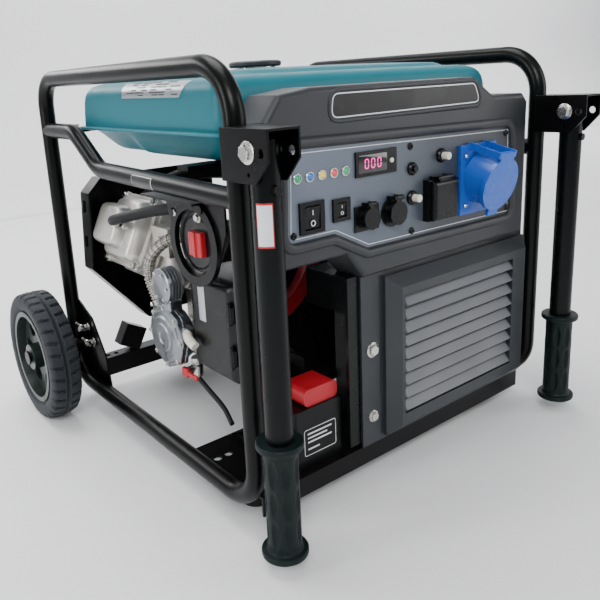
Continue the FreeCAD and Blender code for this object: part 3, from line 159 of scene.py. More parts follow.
# %% One recipe for moulded, cast, plated and painted skins
def skin_finish(name, code, other, gloss=(0.4, 0.5), metal=0.0, grain=1.5, depth=0.1, cloud=60,
                edge=0.8, wear=None, coat=0.0, strength=0.35, shine=0.5):
    """Two shades mixed by soft clouds (size in mm), fine grain (mm) as bump, paler worn edges."""
    material, tree, shader, place = blank_material(name)
    clouds = add(tree, "ShaderNodeTexNoise", Vector=place, Scale=1000 / cloud, Detail=5.0)
    fine = add(tree, "ShaderNodeTexNoise", Vector=place, Scale=1000 / grain, Detail=3.0)
    shade = add(tree, "ShaderNodeMix", {"data_type": "RGBA"}, i0=clouds.outputs[0],
                i6=linear(code), i7=linear(other)).outputs[2]
    rounded = add(tree, "ShaderNodeBevel", {"samples": 3}, Radius=edge * MM)
    if wear:
        plain = add(tree, "ShaderNodeNewGeometry").outputs["Normal"]
        match = add(tree, "ShaderNodeVectorMath", {"operation": "DOT_PRODUCT"}, i0=plain,
                    i1=rounded.outputs[0])
        worn = add(tree, "ShaderNodeMapRange", Value=match.outputs["Value"], i1=0.97, i2=0.80,
                   i3=0.0, i4=0.7)
        shade = add(tree, "ShaderNodeMix", {"data_type": "RGBA"}, i0=worn.outputs[0],
                    i6=shade, i7=linear(wear)).outputs[2]
    rough = add(tree, "ShaderNodeMapRange", Value=clouds.outputs[0], i1=0.3, i2=0.7,
                i3=gloss[0], i4=gloss[1])
    bump = add(tree, "ShaderNodeBump", Strength=strength, Distance=depth * MM,
               Height=fine.outputs[0], Normal=rounded.outputs[0])
    tree.links.new(shade, shader.inputs["Base Color"])
    tree.links.new(rough.outputs[0], shader.inputs["Roughness"])
    tree.links.new(bump.outputs[0], shader.inputs["Normal"])
    shader.inputs["Metallic"].default_value = metal
    shader.inputs["Specular IOR Level"].default_value = shine
    shader.inputs["Coat Weight"].default_value = coat
    shader.inputs["Coat Roughness"].default_value = 0.06
    return material


FINISH = {
    # baked enamel on pressed steel: deep teal with a satin skin that spreads its highlights
    "tank_enamel": skin_finish("tank_enamel", "#086471", "#0C6E7B", (0.40, 0.50), 0.0, 2.5, 0.05,
                               90, 1.2, None, 0.0, 0.12, 0.34),
    # spark-textured ABS: dark grey, an even satin, paler where corners are rubbed
    "charcoal_plastic": skin_finish("charcoal_abs", "#25272A", "#2C2E32", (0.38, 0.48), 0, 1.6,
                                    0.12, 70, 1.2, "#4C4F53", 0.0, 0.35, 0.4),
    # injection-moulded polypropylene: black and rather glossy
    "black_plastic": skin_finish("black_polypropylene", "#050607", "#090A0B", (0.24, 0.34), 0, 2.2,
                                 0.08, 50, 1.0, "#17181A", 0.0, 0.35, 0.25),
    # glass-filled nylon, bright blue, smooth from a polished mould
    "socket_blue": skin_finish("blue_nylon", "#1450AF", "#1C5ABE", (0.24, 0.32), 0, 1.8, 0.06, 40,
                               0.9, "#3A74CC"),
    # urea buttons, ivory, slightly translucent looking
    "button_ivory": skin_finish("ivory_urea", "#D8D2C2", "#E6E1D4", (0.25, 0.33), 0, 1.0, 0.03, 20,
                                0.5),
    # vinyl and ABS in signal red
    "red_plastic": skin_finish("signal_red_abs", "#A61420", "#B81E2A", (0.34, 0.44), 0, 1.5, 0.08,
                               40, 0.8, "#DE5A5F"),
    # pressure die casting, tumbled: pale grey with a fine cast skin and dull clouds
    "cast_aluminium": skin_finish("die_cast_aluminium", "#C6C2BC", "#DEDAD4", (0.30, 0.42), 0.72,
                                  1.4, 0.30, 25, 1.0, "#DAD6D0"),
    # heat-proof black paint on sheet steel
    "dark_steel": skin_finish("heatproof_black_paint", "#0C0C0D", "#141415", (0.5, 0.62), 0.2, 1.8,
                              0.15, 40, 0.8, "#2C2D2E", 0.0, 0.35, 0.22),
    # varnished laminations and copper of the rotor seen through the vents
    "rotor_steel": skin_finish("varnished_laminations", "#5A4436", "#7A7672", (0.4, 0.5), 0.8, 1.2,
                               0.2, 18, 0.6),
    # bright zinc plate with a faint blue and straw bloom
    "zinc_steel": skin_finish("bright_zinc_plate", "#C3C8CC", "#D8D3C4", (0.20, 0.32), 1.0, 1.2,
                              0.06, 9, 0.5),
    # extruded nitrile hose: black, dull, with a bloom of talc
    "hose_rubber": skin_finish("nitrile_hose", "#121315", "#1C1E21", (0.42, 0.55), 0, 1.3, 0.1, 25,
                               0.5, None, 0.0, 0.35, 0.25),
    # brass fittings, a little tarnished
    "valve_brass": skin_finish("tarnished_brass", "#A98B4D", "#C4A765", (0.3, 0.42), 1.0, 1.2, 0.1,
                               12, 0.5),
    # solid tyre: black rubber, greyed by dust on its tread
    "tyre_rubber": skin_finish("tyre_rubber", "#1A1D21", "#292D32", (0.55, 0.7), 0, 1.6, 0.2, 35,
                               0.8, "#4A4E53", 0.0, 0.35, 0.3),
    # nylon wheel centre, a very dark green-black
    "rim_plastic": skin_finish("wheel_nylon", "#0C1413", "#13201D", (0.3, 0.4), 0, 1.8, 0.08, 45,
                               0.9, "#33433F"),
    # soft grip rubber, dark slate
    "grip_rubber": skin_finish("grip_rubber", "#06110F", "#0B1819", (0.42, 0.55), 0, 1.4, 0.12, 30,
                               0.8, "#223036", 0.0, 0.35, 0.2),
}
# pressure die-cast zinc of the regulator: cooler and shinier than the aluminium castings
ZINC_CASTING = skin_finish("die_cast_zinc", "#7F8388", "#A3A7AC", (0.26, 0.4), 1.0, 1.3, 0.22, 16,
                           0.9, "#C9CDD1")
CLEAR_BLACK = skin_finish("smoked_acrylic", "#0B0708", "#120A0D", (0.1, 0.14), 0, 3.0, 0.01, 40,
                          0.4, None, 0.6, 0.05)
SILVER_FOIL = skin_finish("brushed_foil_label", "#A9ADB2", "#C4C8CC", (0.28, 0.4), 0.7, 1.0, 0.03,
                          12, 0.3)
BLACK_VINYL = skin_finish("black_vinyl_label", "#0E0F11", "#15171A", (0.3, 0.36), 0, 2.0, 0.03,
                          30, 0.3)
WHITE_INK = skin_finish("white_screen_ink", "#D5D8DA", "#E2E4E6", (0.4, 0.5), 0, 1.0, 0.03, 20,
                        0.2)
print(len(FINISH), "slot finishes so far")


# %% [markdown]
# ## Finishes whose colour changes along the piece
# The control plate is a printed film that fades from blue grey to nearly black, and the five lamp
# lenses each have their own colour.  Both follow the piece's own X, so a ramp does it.


# %% Printed film and coloured lenses
def ramped(name, stops, low, high, rough, interpolation="LINEAR", glow=0.0):
    """Colour read from X between low and high (m); stops are (place from 0 to 1, colour)."""
    material, tree, shader, place = blank_material(name)
    x = add(tree, "ShaderNodeSeparateXYZ", Vector=place).outputs["X"]
    along = add(tree, "ShaderNodeMapRange", Value=x, i1=low, i2=high).outputs[0]
    ramp = add(tree, "ShaderNodeValToRGB", Fac=along)
    ramp.color_ramp.interpolation = interpolation
    for number, (where, code) in enumerate(stops):
        stop = (ramp.color_ramp.elements[number] if number < 2
                else ramp.color_ramp.elements.new(where))
        stop.position, stop.color = where, linear(code)
    film = add(tree, "ShaderNodeTexNoise", Vector=place, Scale=1000 / 1.6, Detail=2.0)
    bump = add(tree, "ShaderNodeBump", Strength=0.15, Distance=0.04 * MM, Height=film.outputs[0])
    tree.links.new(ramp.outputs[0], shader.inputs["Base Color"])
    tree.links.new(bump.outputs[0], shader.inputs["Normal"])
    shader.inputs["Roughness"].default_value = rough
    if glow:
        tree.links.new(ramp.outputs[0], shader.inputs["Emission Color"])
        shader.inputs["Emission Strength"].default_value = glow
    return material


# polycarbonate film, printed on its back: satin
FINISH["panel_print"] = ramped("printed_film", [(0.0, "#646E7C"), (1.0, "#26292E"),
                                                (0.35, "#535C68"), (0.6, "#393F47")],
                               -0.224, 0.209, 0.38)
# clear acrylic domes over coloured diodes
FINISH["lamp_lens"] = ramped("lamp_acrylic", [(0.0, "#2FA672"), (0.2, "#2B72C4"),
                                              (0.4, "#E9D15E"), (0.6, "#DC4B55"),
                                              (0.8, "#2FA672")],
                             -0.2164, -0.1224, 0.15, "CONSTANT", 0.12)
FINISH["black_powder_coat"] = FRAME_COAT
print("finishes in all", len(FINISH))

# %% A braided hose cover
def braid_finish(name, dark, pale, strands, pitch_mm):
    """Two families of crossing waves over the hose's own UV: strands round it, pitch along it."""
    material, tree, shader, place = blank_material(name)
    own = add(tree, "ShaderNodeTexCoord").outputs["UV"]
    crossed = []
    for sign in (1, -1):
        turned_uv = add(tree, "ShaderNodeVectorMath", {"operation": "DOT_PRODUCT"}, i0=own)
        turned_uv.inputs[1].default_value = (1000 / pitch_mm, sign * strands, 0)
        wave = add(tree, "ShaderNodeMath", {"operation": "SINE"},
                   i0=add(tree, "ShaderNodeMath", {"operation": "MULTIPLY"},
                          i0=turned_uv.outputs["Value"], i1=2 * math.pi).outputs[0])
        crossed.append(wave.outputs[0])
    height = add(tree, "ShaderNodeMath", {"operation": "MULTIPLY"}, i0=crossed[0],
                 i1=crossed[1]).outputs[0]
    level = add(tree, "ShaderNodeMapRange", Value=height, i1=-0.6, i2=0.9).outputs[0]
    # the weave's low spots take the dark grey and its crests the pale one: the dark is painted
    # shade in the hollows between the strands
    shade = add(tree, "ShaderNodeMix", {"data_type": "RGBA"}, i0=level, i6=linear(dark),
                i7=linear(pale)).outputs[2]
    bump = add(tree, "ShaderNodeBump", Strength=0.6, Distance=0.4 * MM, Height=level)
    tree.links.new(shade, shader.inputs["Base Color"])
    tree.links.new(bump.outputs[0], shader.inputs["Normal"])
    shader.inputs["Roughness"].default_value = 0.42
    shader.inputs["Metallic"].default_value = 0.55
    return material


# stainless wire woven over a convoluted tube, 6 mm pitch drawn coarse enough to show
FINISH["hose_braid"] = braid_finish("stainless_braid", "#6A655F", "#C9C4BC", 6, 7)
for node_name, thing in NODES.items():
    slot_name = [m.name.split(".")[0] for m in thing.data.materials if m]
    finish = next((FINISH[s] for s in slot_name if s in FINISH), None)
    if finish is None:
        print("no finish for", node_name, slot_name)
        finish = FRAME_COAT
    thing.data.materials.clear()
    thing.data.materials.append(finish)
print(len(NODES), "nodes painted")

# %% [markdown]
# ## The workshop of shapes
# A part's surface is nearly always one of three things: a profile turned round an axis, an outline
# stacked in layers, or a ring carried along a path.  Each is a grid of points, found for the whole
# grid at once, so one helper turns any grid into a mesh and closes its ends.


# %% Grids to meshes
def ring_faces(rings, around, first=0, caps=True):
    """Quads between neighbouring rings of a closed grid, and a cap over each end ring."""
    i, j = np.meshgrid(np.arange(rings - 1), np.arange(around), indexing="ij")
    a, b = i * around + j, i * around + (j + 1) % around
    quads = np.stack([a, b, b + around, a + around], -1).reshape(-1, 4) + first
    faces = quads.tolist()
    if caps:
        faces += [(np.arange(around)[::-1] + first).tolist(),
                  (np.arange(around) + first + (rings - 1) * around).tolist()]
    return faces


def several(name, grids, material, body="chassis", smooth=35, loops=False):
    """Many ring grids in one mesh; each grid's shape is (rings, around, 3)."""
    points, faces, count = [], [], 0
    for grid in grids:
        grid = np.asarray(grid, float)
        own = ring_faces(grid.shape[0], grid.shape[1], 0, not loops)
        corners = grid.reshape(-1, 3)
        middle = corners.mean(axis=0)
        tri = np.array([corners[[f[0], f[k], f[k + 1]]] for f in own
                        for k in range(1, len(f) - 1)]) - middle
        if np.einsum("ij,ij->", tri[:, 0], np.cross(tri[:, 1], tri[:, 2])) < 0:
            own = [f[::-1] for f in own]
        faces += [[v + count for v in f] for f in own]
        points.append(corners)
        count += len(corners)
    mesh = bpy.data.meshes.new(name)
    mesh.from_pydata((np.concatenate(points) * MM).tolist(), [], faces)
    mesh.update()
    mesh.materials.append(material)
    mesh.shade_smooth()
    mesh.set_sharp_from_angle(angle=math.radians(smooth))
    piece = bpy.data.objects.new(name, mesh)
    bpy.context.collection.objects.link(piece)
    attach(piece, body)
    return piece


def square_to(axis):
    """Two unit vectors at right angles to an axis and to each other."""
    axis = np.asarray(axis, float) / np.linalg.norm(axis)
    helper = np.array([0, 0, 1.0]) if abs(axis[2]) < 0.9 else np.array([1.0, 0, 0])
    u = np.cross(helper, axis)
    u /= np.linalg.norm(u)
    return u, np.cross(axis, u), axis


def turned(centre, axis, profile, sides=48, phase=0.0, ripple=None):
    """Radius and distance along the axis, turned round it; ripple(angle, distance) adds radius."""
    u, v, n = square_to(axis)
    radius, along = np.asarray(profile, float).T
    angle = np.linspace(0, 2 * np.pi, sides, endpoint=False) + phase
    r = np.repeat(radius[:, None], sides, 1)
    if ripple is not None:
        r = r + ripple(angle[None, :], along[:, None]) * np.ones_like(r)
    ring = (np.cos(angle)[None, :, None] * u + np.sin(angle)[None, :, None] * v)
    return np.asarray(centre, float) + ring * r[..., None] + along[:, None, None] * n


def rounded(corners, radius, steps=5):
    """A polygon (n, 2) whose corners become arcs, or nearly, of the given radius."""
    corners = np.asarray(corners, float)
    radius = np.broadcast_to(radius, len(corners))
    before = np.roll(corners, 1, axis=0) - corners
    after = np.roll(corners, -1, axis=0) - corners
    lb, la = np.linalg.norm(before, axis=1), np.linalg.norm(after, axis=1)
    b, a = before / lb[:, None], after / la[:, None]
    half = np.arccos(np.clip((a * b).sum(1), -1, 1)) / 2
    reach = np.minimum(radius / np.tan(half), 0.49 * np.minimum(lb, la))
    t = np.linspace(0, 1, steps + 1)[None, :, None]
    start, end = corners + b * reach[:, None], corners + a * reach[:, None]
    curve = ((1 - t) ** 2 * start[:, None] + 2 * t * (1 - t) * corners[:, None]
             + t ** 2 * end[:, None])
    return curve.reshape(-1, 2)


def inset(outline, by):
    """An outline moved inwards: each point shifts along the mean of its edges' inner normals."""
    outline = np.asarray(outline, float)
    ahead = np.roll(outline, -1, axis=0) - outline
    ahead /= np.maximum(np.linalg.norm(ahead, axis=1), 1e-9)[:, None]
    area = (outline[:, 0] * np.roll(outline[:, 1], -1)
            - np.roll(outline[:, 0], -1) * outline[:, 1]).sum()
    normal = np.stack([-ahead[:, 1], ahead[:, 0]], 1) * np.sign(area)
    mean = normal + np.roll(normal, 1, axis=0)
    mean /= np.maximum((mean ** 2).sum(1), 1e-6)[:, None] / 2
    return outline + mean * by


def layered(outline, layers, plane="xz"):
    """An outline stacked through layers of (distance along the third axis, inset)."""
    axes = {"xz": (0, 2, 1), "yz": (1, 2, 0), "xy": (0, 1, 2)}[plane]
    grid = np.zeros((len(layers), len(outline), 3))
    for row, (level, by) in enumerate(layers):
        flat = inset(outline, by) if by else np.asarray(outline, float)
        grid[row, :, axes[0]], grid[row, :, axes[1]] = flat[:, 0], flat[:, 1]
        grid[row, :, axes[2]] = level
    return grid


def pillow(low, high, edge, steps=4):
    """Layers from low to high whose two ends are rounded: inset follows a quarter circle."""
    t = np.linspace(0, np.pi / 2, steps + 1)
    sign = 1 if high > low else -1
    near = [(low + sign * edge * (1 - np.sin(a)), edge * (1 - np.cos(a))) for a in t[::-1]]
    far = [(high - sign * edge * (1 - np.sin(a)), edge * (1 - np.cos(a))) for a in t]
    return near + far


def slab(x, y, z, corner, edge, plane="xz"):
    """A box between pairs of limits, with rounded corners in its plane and softened faces."""
    spans = {"x": x, "y": y, "z": z}
    third = ({"x", "y", "z"} - set(plane)).pop()
    (a0, a1), (b0, b1) = spans[plane[0]], spans[plane[1]]
    flat = rounded([(a0, b0), (a1, b0), (a1, b1), (a0, b1)], corner)
    return layered(flat, pillow(*spans[third], edge), plane)


def smooth_line(points, count):
    """A line that passes through its points: centripetal Catmull-Rom, evenly spaced after."""
    p = np.asarray(points, float)
    p = np.vstack([2 * p[0] - p[1], p, 2 * p[-1] - p[-2]])
    pieces = []
    t = np.linspace(0, 1, 24, endpoint=False)[:, None]
    for a, b, c, d in zip(p[:-3], p[1:-2], p[2:-1], p[3:]):
        pieces.append(0.5 * (2 * b + (c - a) * t + (2 * a - 5 * b + 4 * c - d) * t ** 2
                             + (3 * b - a - 3 * c + d) * t ** 3))
    line = np.vstack(pieces + [p[-2:-1]])
    run = np.concatenate([[0], np.cumsum(np.linalg.norm(np.diff(line, axis=0), axis=1))])
    even = np.linspace(0, run[-1], count)
    return np.stack([np.interp(even, run, line[:, k]) for k in range(3)], 1), even


def carried(line, radius, sides=16):
    """A ring carried along a line without twist; radius is one number or one for each point."""
    tangent = np.gradient(line, axis=0)
    tangent /= np.linalg.norm(tangent, axis=1)[:, None]
    u = square_to(tangent[0])[0]
    frames = []
    for direction in tangent:
        u = u - direction * (u @ direction)
        u /= np.linalg.norm(u)
        frames.append((u.copy(), np.cross(direction, u)))
    frames = np.array(frames)
    angle = np.linspace(0, 2 * np.pi, sides, endpoint=False)
    ring = (np.cos(angle)[None, :, None] * frames[:, None, 0]
            + np.sin(angle)[None, :, None] * frames[:, None, 1])
    radius = np.broadcast_to(radius, len(line))
    return line[:, None] + ring * radius[:, None, None]


def with_uv(piece, around, lengths):
    """A UV map for a hose: U is the distance along it in metres, V goes once round it."""
    mesh = piece.data
    layer = mesh.uv_layers.new(name="hose_uv")
    index = np.zeros(len(mesh.loops), int)
    mesh.loops.foreach_get("vertex_index", index)
    u = np.asarray(lengths)[np.minimum(index // around, len(lengths) - 1)] * MM
    layer.data.foreach_set("uv", np.stack([u, (index % around) / around], 1).ravel())


def bolt(centre, axis, across, height, sides=6, washer=1.6):
    """A hex bolt: a washer, a six-sided head with a turned chamfer, standing along the axis."""
    head = across / math.sqrt(3)
    rows = [(head * 1.35, 0), (head * 1.35, washer * 0.8), (head * 1.28, washer)]
    washer_grid = turned(centre, axis, rows, 20)
    rows = [(head, washer), (head, height * 0.86), (head * 0.88, height)]
    return [washer_grid, turned(centre, axis, rows, sides, 0.3)]


print("shape tools ready")

# %% [markdown]
# ## Tyres
# A solid rubber tyre is a wheel-shaped casting whose tread has blocks.  It could be modelled from
# one block repeated round the rim, but one height function over angle and width gives the whole
# tread at once, with grooves where the function drops.


# %% Tread blocks as a height function
def tyre(side):
    """Radius follows the tyre's section; where the section is tread, it drops 4 mm in the
    grooves: slanted across the shoulders every 11 degrees, and one round the middle."""
    name = "left" if side < 0 else "right"
    low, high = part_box(name + "_tyre")
    low, high = np.array(low) * 1000, np.array(high) * 1000
    middle, half = (low + high) / 2, (high[0] - low[0]) / 2
    outer = (high[2] - low[2]) / 2
    across = np.concatenate([np.full(3, -0.80), [-0.92, -0.985, -1.0, -0.985, -0.93, -0.86],
                             np.linspace(-0.80, 0.80, 21), [0.86, 0.93, 0.985, 1.0, 0.985, 0.92],
                             np.full(3, 0.80)]) * half
    crown = outer - 1.6 * (np.linspace(-1, 1, 21)) ** 2
    rise = np.array([79.5, 80.5, 82, 84, 89, 95, 101, 105, 107.4])
    radius = np.concatenate([rise, crown, rise[::-1]]) * 1.0
    angle = np.linspace(0, 2 * np.pi, 330, endpoint=False)
    place = across / half
    wave = (angle[None, :] * 33 / (2 * np.pi) + 0.16 * np.sign(place)[:, None]
            + 0.22 * np.abs(place)[:, None]) % 1.0
    cross_groove = np.clip(np.minimum(wave, 1 - wave) / 0.06 - 1.4, 0, 1)
    ring_groove = np.clip(np.abs(np.abs(place) - 0.0) / 0.05 - 1.0, 0, 1)[:, None]
    tread = np.clip((radius - 100) / 6, 0, 1)[:, None]
    shoulder = np.clip((np.abs(place) - 0.18) / 0.06, 0, 1)[:, None]
    drop = 4.2 * tread * (1 - np.minimum(np.where(shoulder > 0, cross_groove, 1),
                                         np.where(tread > 0.9, ring_groove, 1)))
    r = radius[:, None] - drop
    grid = np.stack([middle[0] + across[:, None] * np.ones_like(r),
                     middle[1] + r * np.cos(angle), middle[2] + r * np.sin(angle)], -1)
    grid = np.concatenate([grid, grid[:1]])
    piece = several(name + "_tread_tyre", [grid], FINISH["tyre_rubber"], name + "_wheel", 40,
                    loops=True)
    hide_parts(name + "_tyre")
    return piece


for side in (-1, 1):
    print(tyre(side).name, "outer box mm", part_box(("left" if side < 0 else "right") + "_tyre"))

# %% [markdown]
# ## Grips
# The grips are slip-on rubber sleeves with a flange at each end and rows of oval dimples that a
# palm can feel.  The dimples are dips in the sleeve's radius, so again the whole sleeve is one
# function of angle and height.


# %% Dimpled sleeves
def grip(side):
    """Radius 20 mm less oval dips: cosine hollows in eight columns and three rows."""
    name = "left" if side < 0 else "right"
    low, high = (np.array(c) * 1000 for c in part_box(name + "_grip"))
    x, y = (low[:2] + high[:2]) / 2
    z = np.concatenate([[low[2], low[2]], low[2] + np.array([0.8, 2, 6, 7.2, 8, 10]),
                        np.linspace(low[2] + 12, high[2] - 12, 62),
                        high[2] - np.array([10, 8, 7.2, 6, 2, 0.8]), [high[2], high[2]]])
    flange = (high[0] - low[0]) / 2
    ends = np.array([16.3, flange - 1.2, flange - 0.3, flange, flange, flange - 0.8, 22.0, 20.6])
    radius = np.concatenate([ends, np.full(62, 20.0), ends[::-1]])
    angle = np.linspace(0, 2 * np.pi, 112, endpoint=False)
    rows = np.linspace(low[2] + 34, high[2] - 34, 3)
    tall = np.min(np.abs(z[:, None] - rows[None, :]), axis=1) / 17.0
    column = np.abs((angle * 8 / (2 * np.pi)) % 1 - 0.5) * 2 / 0.62
    near = tall[:, None] ** 2 + column[None, :] ** 2
    dip = 3.3 * np.clip(1 - near, 0, 1) ** 0.6
    r = radius[:, None] - dip * (radius == 20.0)[:, None]
    grid = np.stack([x + r * np.cos(angle), y + r * np.sin(angle), z[:, None] * np.ones_like(r)],
                    -1)
    piece = several(name + "_dimpled_grip", [grid], FINISH["grip_rubber"],
                    name + "_folding_handle", 40)
    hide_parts(name + "_grip")
    return piece


for side in (-1, 1):
    print(grip(side).name)

# %% [markdown]
# ## Fuel tank
# Two pressed steel halves are seam-welded at a lip.  The press leaves generous radii at the
# shoulders and a shallow step round the top that stiffens it.  Rounded rectangles stacked from
# the bottom up, each with its own inset and corner radius, follow such a pressing closely.


# %% Pressed tank
TANK_HALF, TANK_FRONT, TANK_REAR = 256.0, -206.0, 200.0
LIP_BOTTOM, LOWER_DEPTH = 488.0, 36.0
STEP_AT, STEP_SOFTNESS, STEP_IN, SIDE_FROM = 62, 7.0, 15, 150
ARC_POINTS, SIDE_POINTS = 8, 40


def tank_ring(z, by, corner):
    """A rounded rectangle at height z, moved in from the tank's plan by an inset.

    Below the lip the rear part of each long side steps in along an S-shaped curve, so that the
    lower pressing has a wide lobe in front and a narrower one behind.
    """
    half = TANK_HALF - by
    front, rear = TANK_FRONT + by * 0.85, TANK_REAR - by * 0.85
    flat = rounded([(-half, front), (half, front), (half, rear), (-half, rear)], corner,
                   ARC_POINTS)
    arcs = flat.reshape(4, ARC_POINTS + 1, 2)
    ends, starts = arcs[:, -1:], np.roll(arcs, -1, axis=0)[:, :1]
    sides = ends + np.linspace(0, 1, SIDE_POINTS + 2)[None, 1:-1, None] * (starts - ends)
    flat = np.concatenate([arcs, sides], axis=1).reshape(-1, 2)
    below = np.sqrt(np.clip((LIP_BOTTOM - z) / LOWER_DEPTH, 0, 1))
    behind = 1 / (1 + np.exp(-(flat[:, 1] - STEP_AT) / STEP_SOFTNESS))
    on_side = np.abs(flat[:, 0]) > SIDE_FROM
    flat[:, 0] -= np.sign(flat[:, 0]) * on_side * STEP_IN * below * behind
    return np.column_stack([flat, np.full(len(flat), z)])


TANK_LAYERS = [(452, 46, 18), (452.6, 40, 20), (455, 33, 22), (460, 27, 22), (470, 20, 22),
               (480, 14, 21), (487.6, 9.6, 20), (LIP_BOTTOM, 9.2, 20), (LIP_BOTTOM, -8, 22),
               (488.8, -8.6, 22), (491.2, -8.6, 22), (492.0, -8, 22), (492.0, 0.4, 19),
               (492.6, 0, 19), (510, 0.5, 20), (528, 1.6, 21), (538, 3.2, 22), (545, 6, 24),
               (550, 10, 26), (553.4, 15.5, 28), (555.6, 22, 30), (556.8, 30, 30),
               (557.4, 44, 30), (557.9, 49, 30), (561.2, 54, 30), (562.8, 59, 30), (563.6, 70, 30),
               (564.6, 90, 30), (565.6, 116, 30), (566.4, 144, 28), (566.9, 172, 18)]
tank_grid = np.stack([tank_ring(*layer) for layer in TANK_LAYERS])
tank_shell = several("pressed_tank", [tank_grid], FINISH["tank_enamel"], smooth=45)
neck = turned((-72, -30, 0), (0, 0, 1), [(24, 556), (30, 556), (30, 571), (29, 572), (25, 572),
                                          (24, 571)], 48)
tank_neck = several("filler_neck_ring", [np.concatenate([neck, neck[:1]])], FINISH["zinc_steel"],
                    loops=True)
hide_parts("fuel_tank")
print("tank layers", len(TANK_LAYERS), "points", tank_grid.size // 3)

# %% [markdown]
# ## Floor, backdrop and lamps
# Pale paper runs under the machine and curls up on all four sides, so every view has the same
# ground.  Broad soft lamps light it from the left, above and the right, a long strip behind draws
# highlights along the tubes, and two more keep the far paper as pale as the near.


# %% Studio
PAPER_LEFT, PAPER_RIGHT, PAPER_FRONT, PAPER_BACK = -9000, 22000, -9000, 3100
PAPER_BEND, PAPER_HIGH = 900, 4200


def paper_bowl():
    """A floor that curls up on all sides: a rounded oblong steps outwards on a quarter circle.

    Every ring is the same outline; its inset falls from the bend's radius to nothing as its
    height rises.
    """
    bend = np.linspace(0, np.pi / 2, 16)
    outline = rounded([(PAPER_LEFT, PAPER_FRONT), (PAPER_RIGHT, PAPER_FRONT),
                       (PAPER_RIGHT, PAPER_BACK), (PAPER_LEFT, PAPER_BACK)], 2500, 12)
    layers = [(PAPER_BEND * (1 - np.cos(a)), PAPER_BEND * (1 - np.sin(a))) for a in bend]
    layers.append((PAPER_HIGH, 0))
    rings = layered(outline, layers, "xy")
    around = len(outline)
    faces = ring_faces(len(rings), around, 0, False) + [np.arange(around).tolist()]
    mesh = bpy.data.meshes.new("paper_sweep")
    mesh.from_pydata((rings.reshape(-1, 3) * MM).tolist(), [], faces)
    mesh.shade_smooth()
    mesh.polygons[len(faces) - 1].use_smooth = False
    paper = bpy.data.objects.new("paper_sweep", mesh)
    mesh.materials.append(skin_finish("studio_paper", "#E3E4E6", "#E8E9EA", (0.75, 0.85), 0, 6,
                                      0.05, 800, 0.5, None, 0, 0.1))
    bpy.context.collection.objects.link(paper)
    return paper


def soft_lamp(name, where, aim, size, power):
    """A square area lamp that faces a point; size in metres, power in watts."""
    data = bpy.data.lights.new(name, "AREA")
    data.shape, data.size, data.size_y, data.energy = "RECTANGLE", size[0], size[1], power
    lamp = bpy.data.objects.new(name, data)
    bpy.context.collection.objects.link(lamp)
    lamp.location = where
    lamp.rotation_euler = (Vector(aim) - Vector(where)).to_track_quat("-Z", "Y").to_euler()
    return lamp


paper_bowl()
soft_lamp("key_tent", (-1.5, -2.0, 2.0), (0, 0, 0.3), (1.0, 1.0), 46)
soft_lamp("overhead_tent", (-0.2, 0.3, 2.4), (0, 0, 0.3), (1.6, 1.4), 50)
soft_lamp("right_fill", (1.9, -1.9, 1.1), (0, 0, 0.3), (1.2, 1.8), 26)
soft_lamp("rear_strip", (-1.0, 1.9, 1.5), (0, 0, 0.4), (2.2, 0.5), 26)
soft_lamp("side_strip", (-2.2, 0.3, 0.9), (0, 0, 0.25), (0.5, 1.2), 20)
soft_lamp("paper_wash", (0.9, 1.6, 2.6), (1.2, 3.2, 0.8), (2.0, 1.0), 50)
soft_lamp("paper_wash_right", (4.6, 0.9, 3.4), (5.6, 3.2, 0.6), (3.0, 1.6), 190)
sun_data = bpy.data.lights.new("ceiling_glow", "SUN")
sun_data.energy, sun_data.angle = 0.55, math.radians(70)
sun = bpy.data.objects.new("ceiling_glow", sun_data)
bpy.context.collection.objects.link(sun)
sun.rotation_euler = Vector((0.35, 1.0, -1.1)).to_track_quat("-Z", "Y").to_euler()
world = bpy.data.worlds.new("studio_air")
bpy.context.scene.world = world
world.use_nodes = True
world.node_tree.nodes["Background"].inputs[0].default_value = linear("#E6E9EC")
world.node_tree.nodes["Background"].inputs[1].default_value = 0.30
print("lamps", len(bpy.data.lights))

# %% [markdown]
# ## Rocker cover
# The die-cast cover over the valve gear has a flat flange with four bolts, a box with leaning
# walls and a raised crown with the breather's port.  The cylinder leans 25 degrees above level,
# so the shape is worked out in the cylinder's own directions and then laid along them.


# %% Lean the cover with the cylinder
CRANK = np.array([15.0, 148.0, 213.0])
LEAN = math.radians(25)
OUT, RISE = np.array([-math.cos(LEAN), 0, math.sin(LEAN)]), np.array([math.sin(LEAN), 0,
                                                                    math.cos(LEAN)])
ALONG = np.array([0, 1.0, 0])


def leaned(half_y, half_up, corner, layers, aside=0.0):
    """A rounded rectangle across the cylinder, stacked outwards through (distance, inset)."""
    flat = rounded([(aside - half_y, -half_up), (aside + half_y, -half_up),
                    (aside + half_y, half_up), (aside - half_y, half_up)], corner)
    grid = layered(flat, layers, "xy")
    return CRANK + grid[..., :1] * ALONG + grid[..., 1:2] * RISE + grid[..., 2:] * OUT


def at_head(y, up, out):
    return CRANK + y * ALONG + up * RISE + out * OUT


cover_grids = [leaned(58, 61, 14, [(238.5, 0.6), (239.2, 0), (245, 0), (246.2, 1)], 6),
               leaned(52, 54, 24, [(245, 0), (254, 1.5), (262, 4), (266.4, 7.5), (268.4, 11.5),
                                   (269, 17)], 7),
               leaned(44, 37, 20, [(264, 0), (275, 1.6), (282, 3.4), (286, 6.2), (287.8, 9.8),
                                   (288.2, 14)], 28)]
cover_grids += [turned(at_head(u, v, 244), OUT, [(8.5, 0), (8.5, 6), (7.5, 7)], 20)
                for u in (-44, 57) for v in (-54, 54)]
cover_grids.append(turned(at_head(-6, 5, 264), OUT, [(11, 0), (11, 12), (8, 14), (7.4, 24),
                                                     (6.6, 25)], 24))
rocker_cover = several("cast_rocker_cover", cover_grids, FINISH["cast_aluminium"])
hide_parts("valve_cover")
print("rocker cover grids", len(cover_grids))

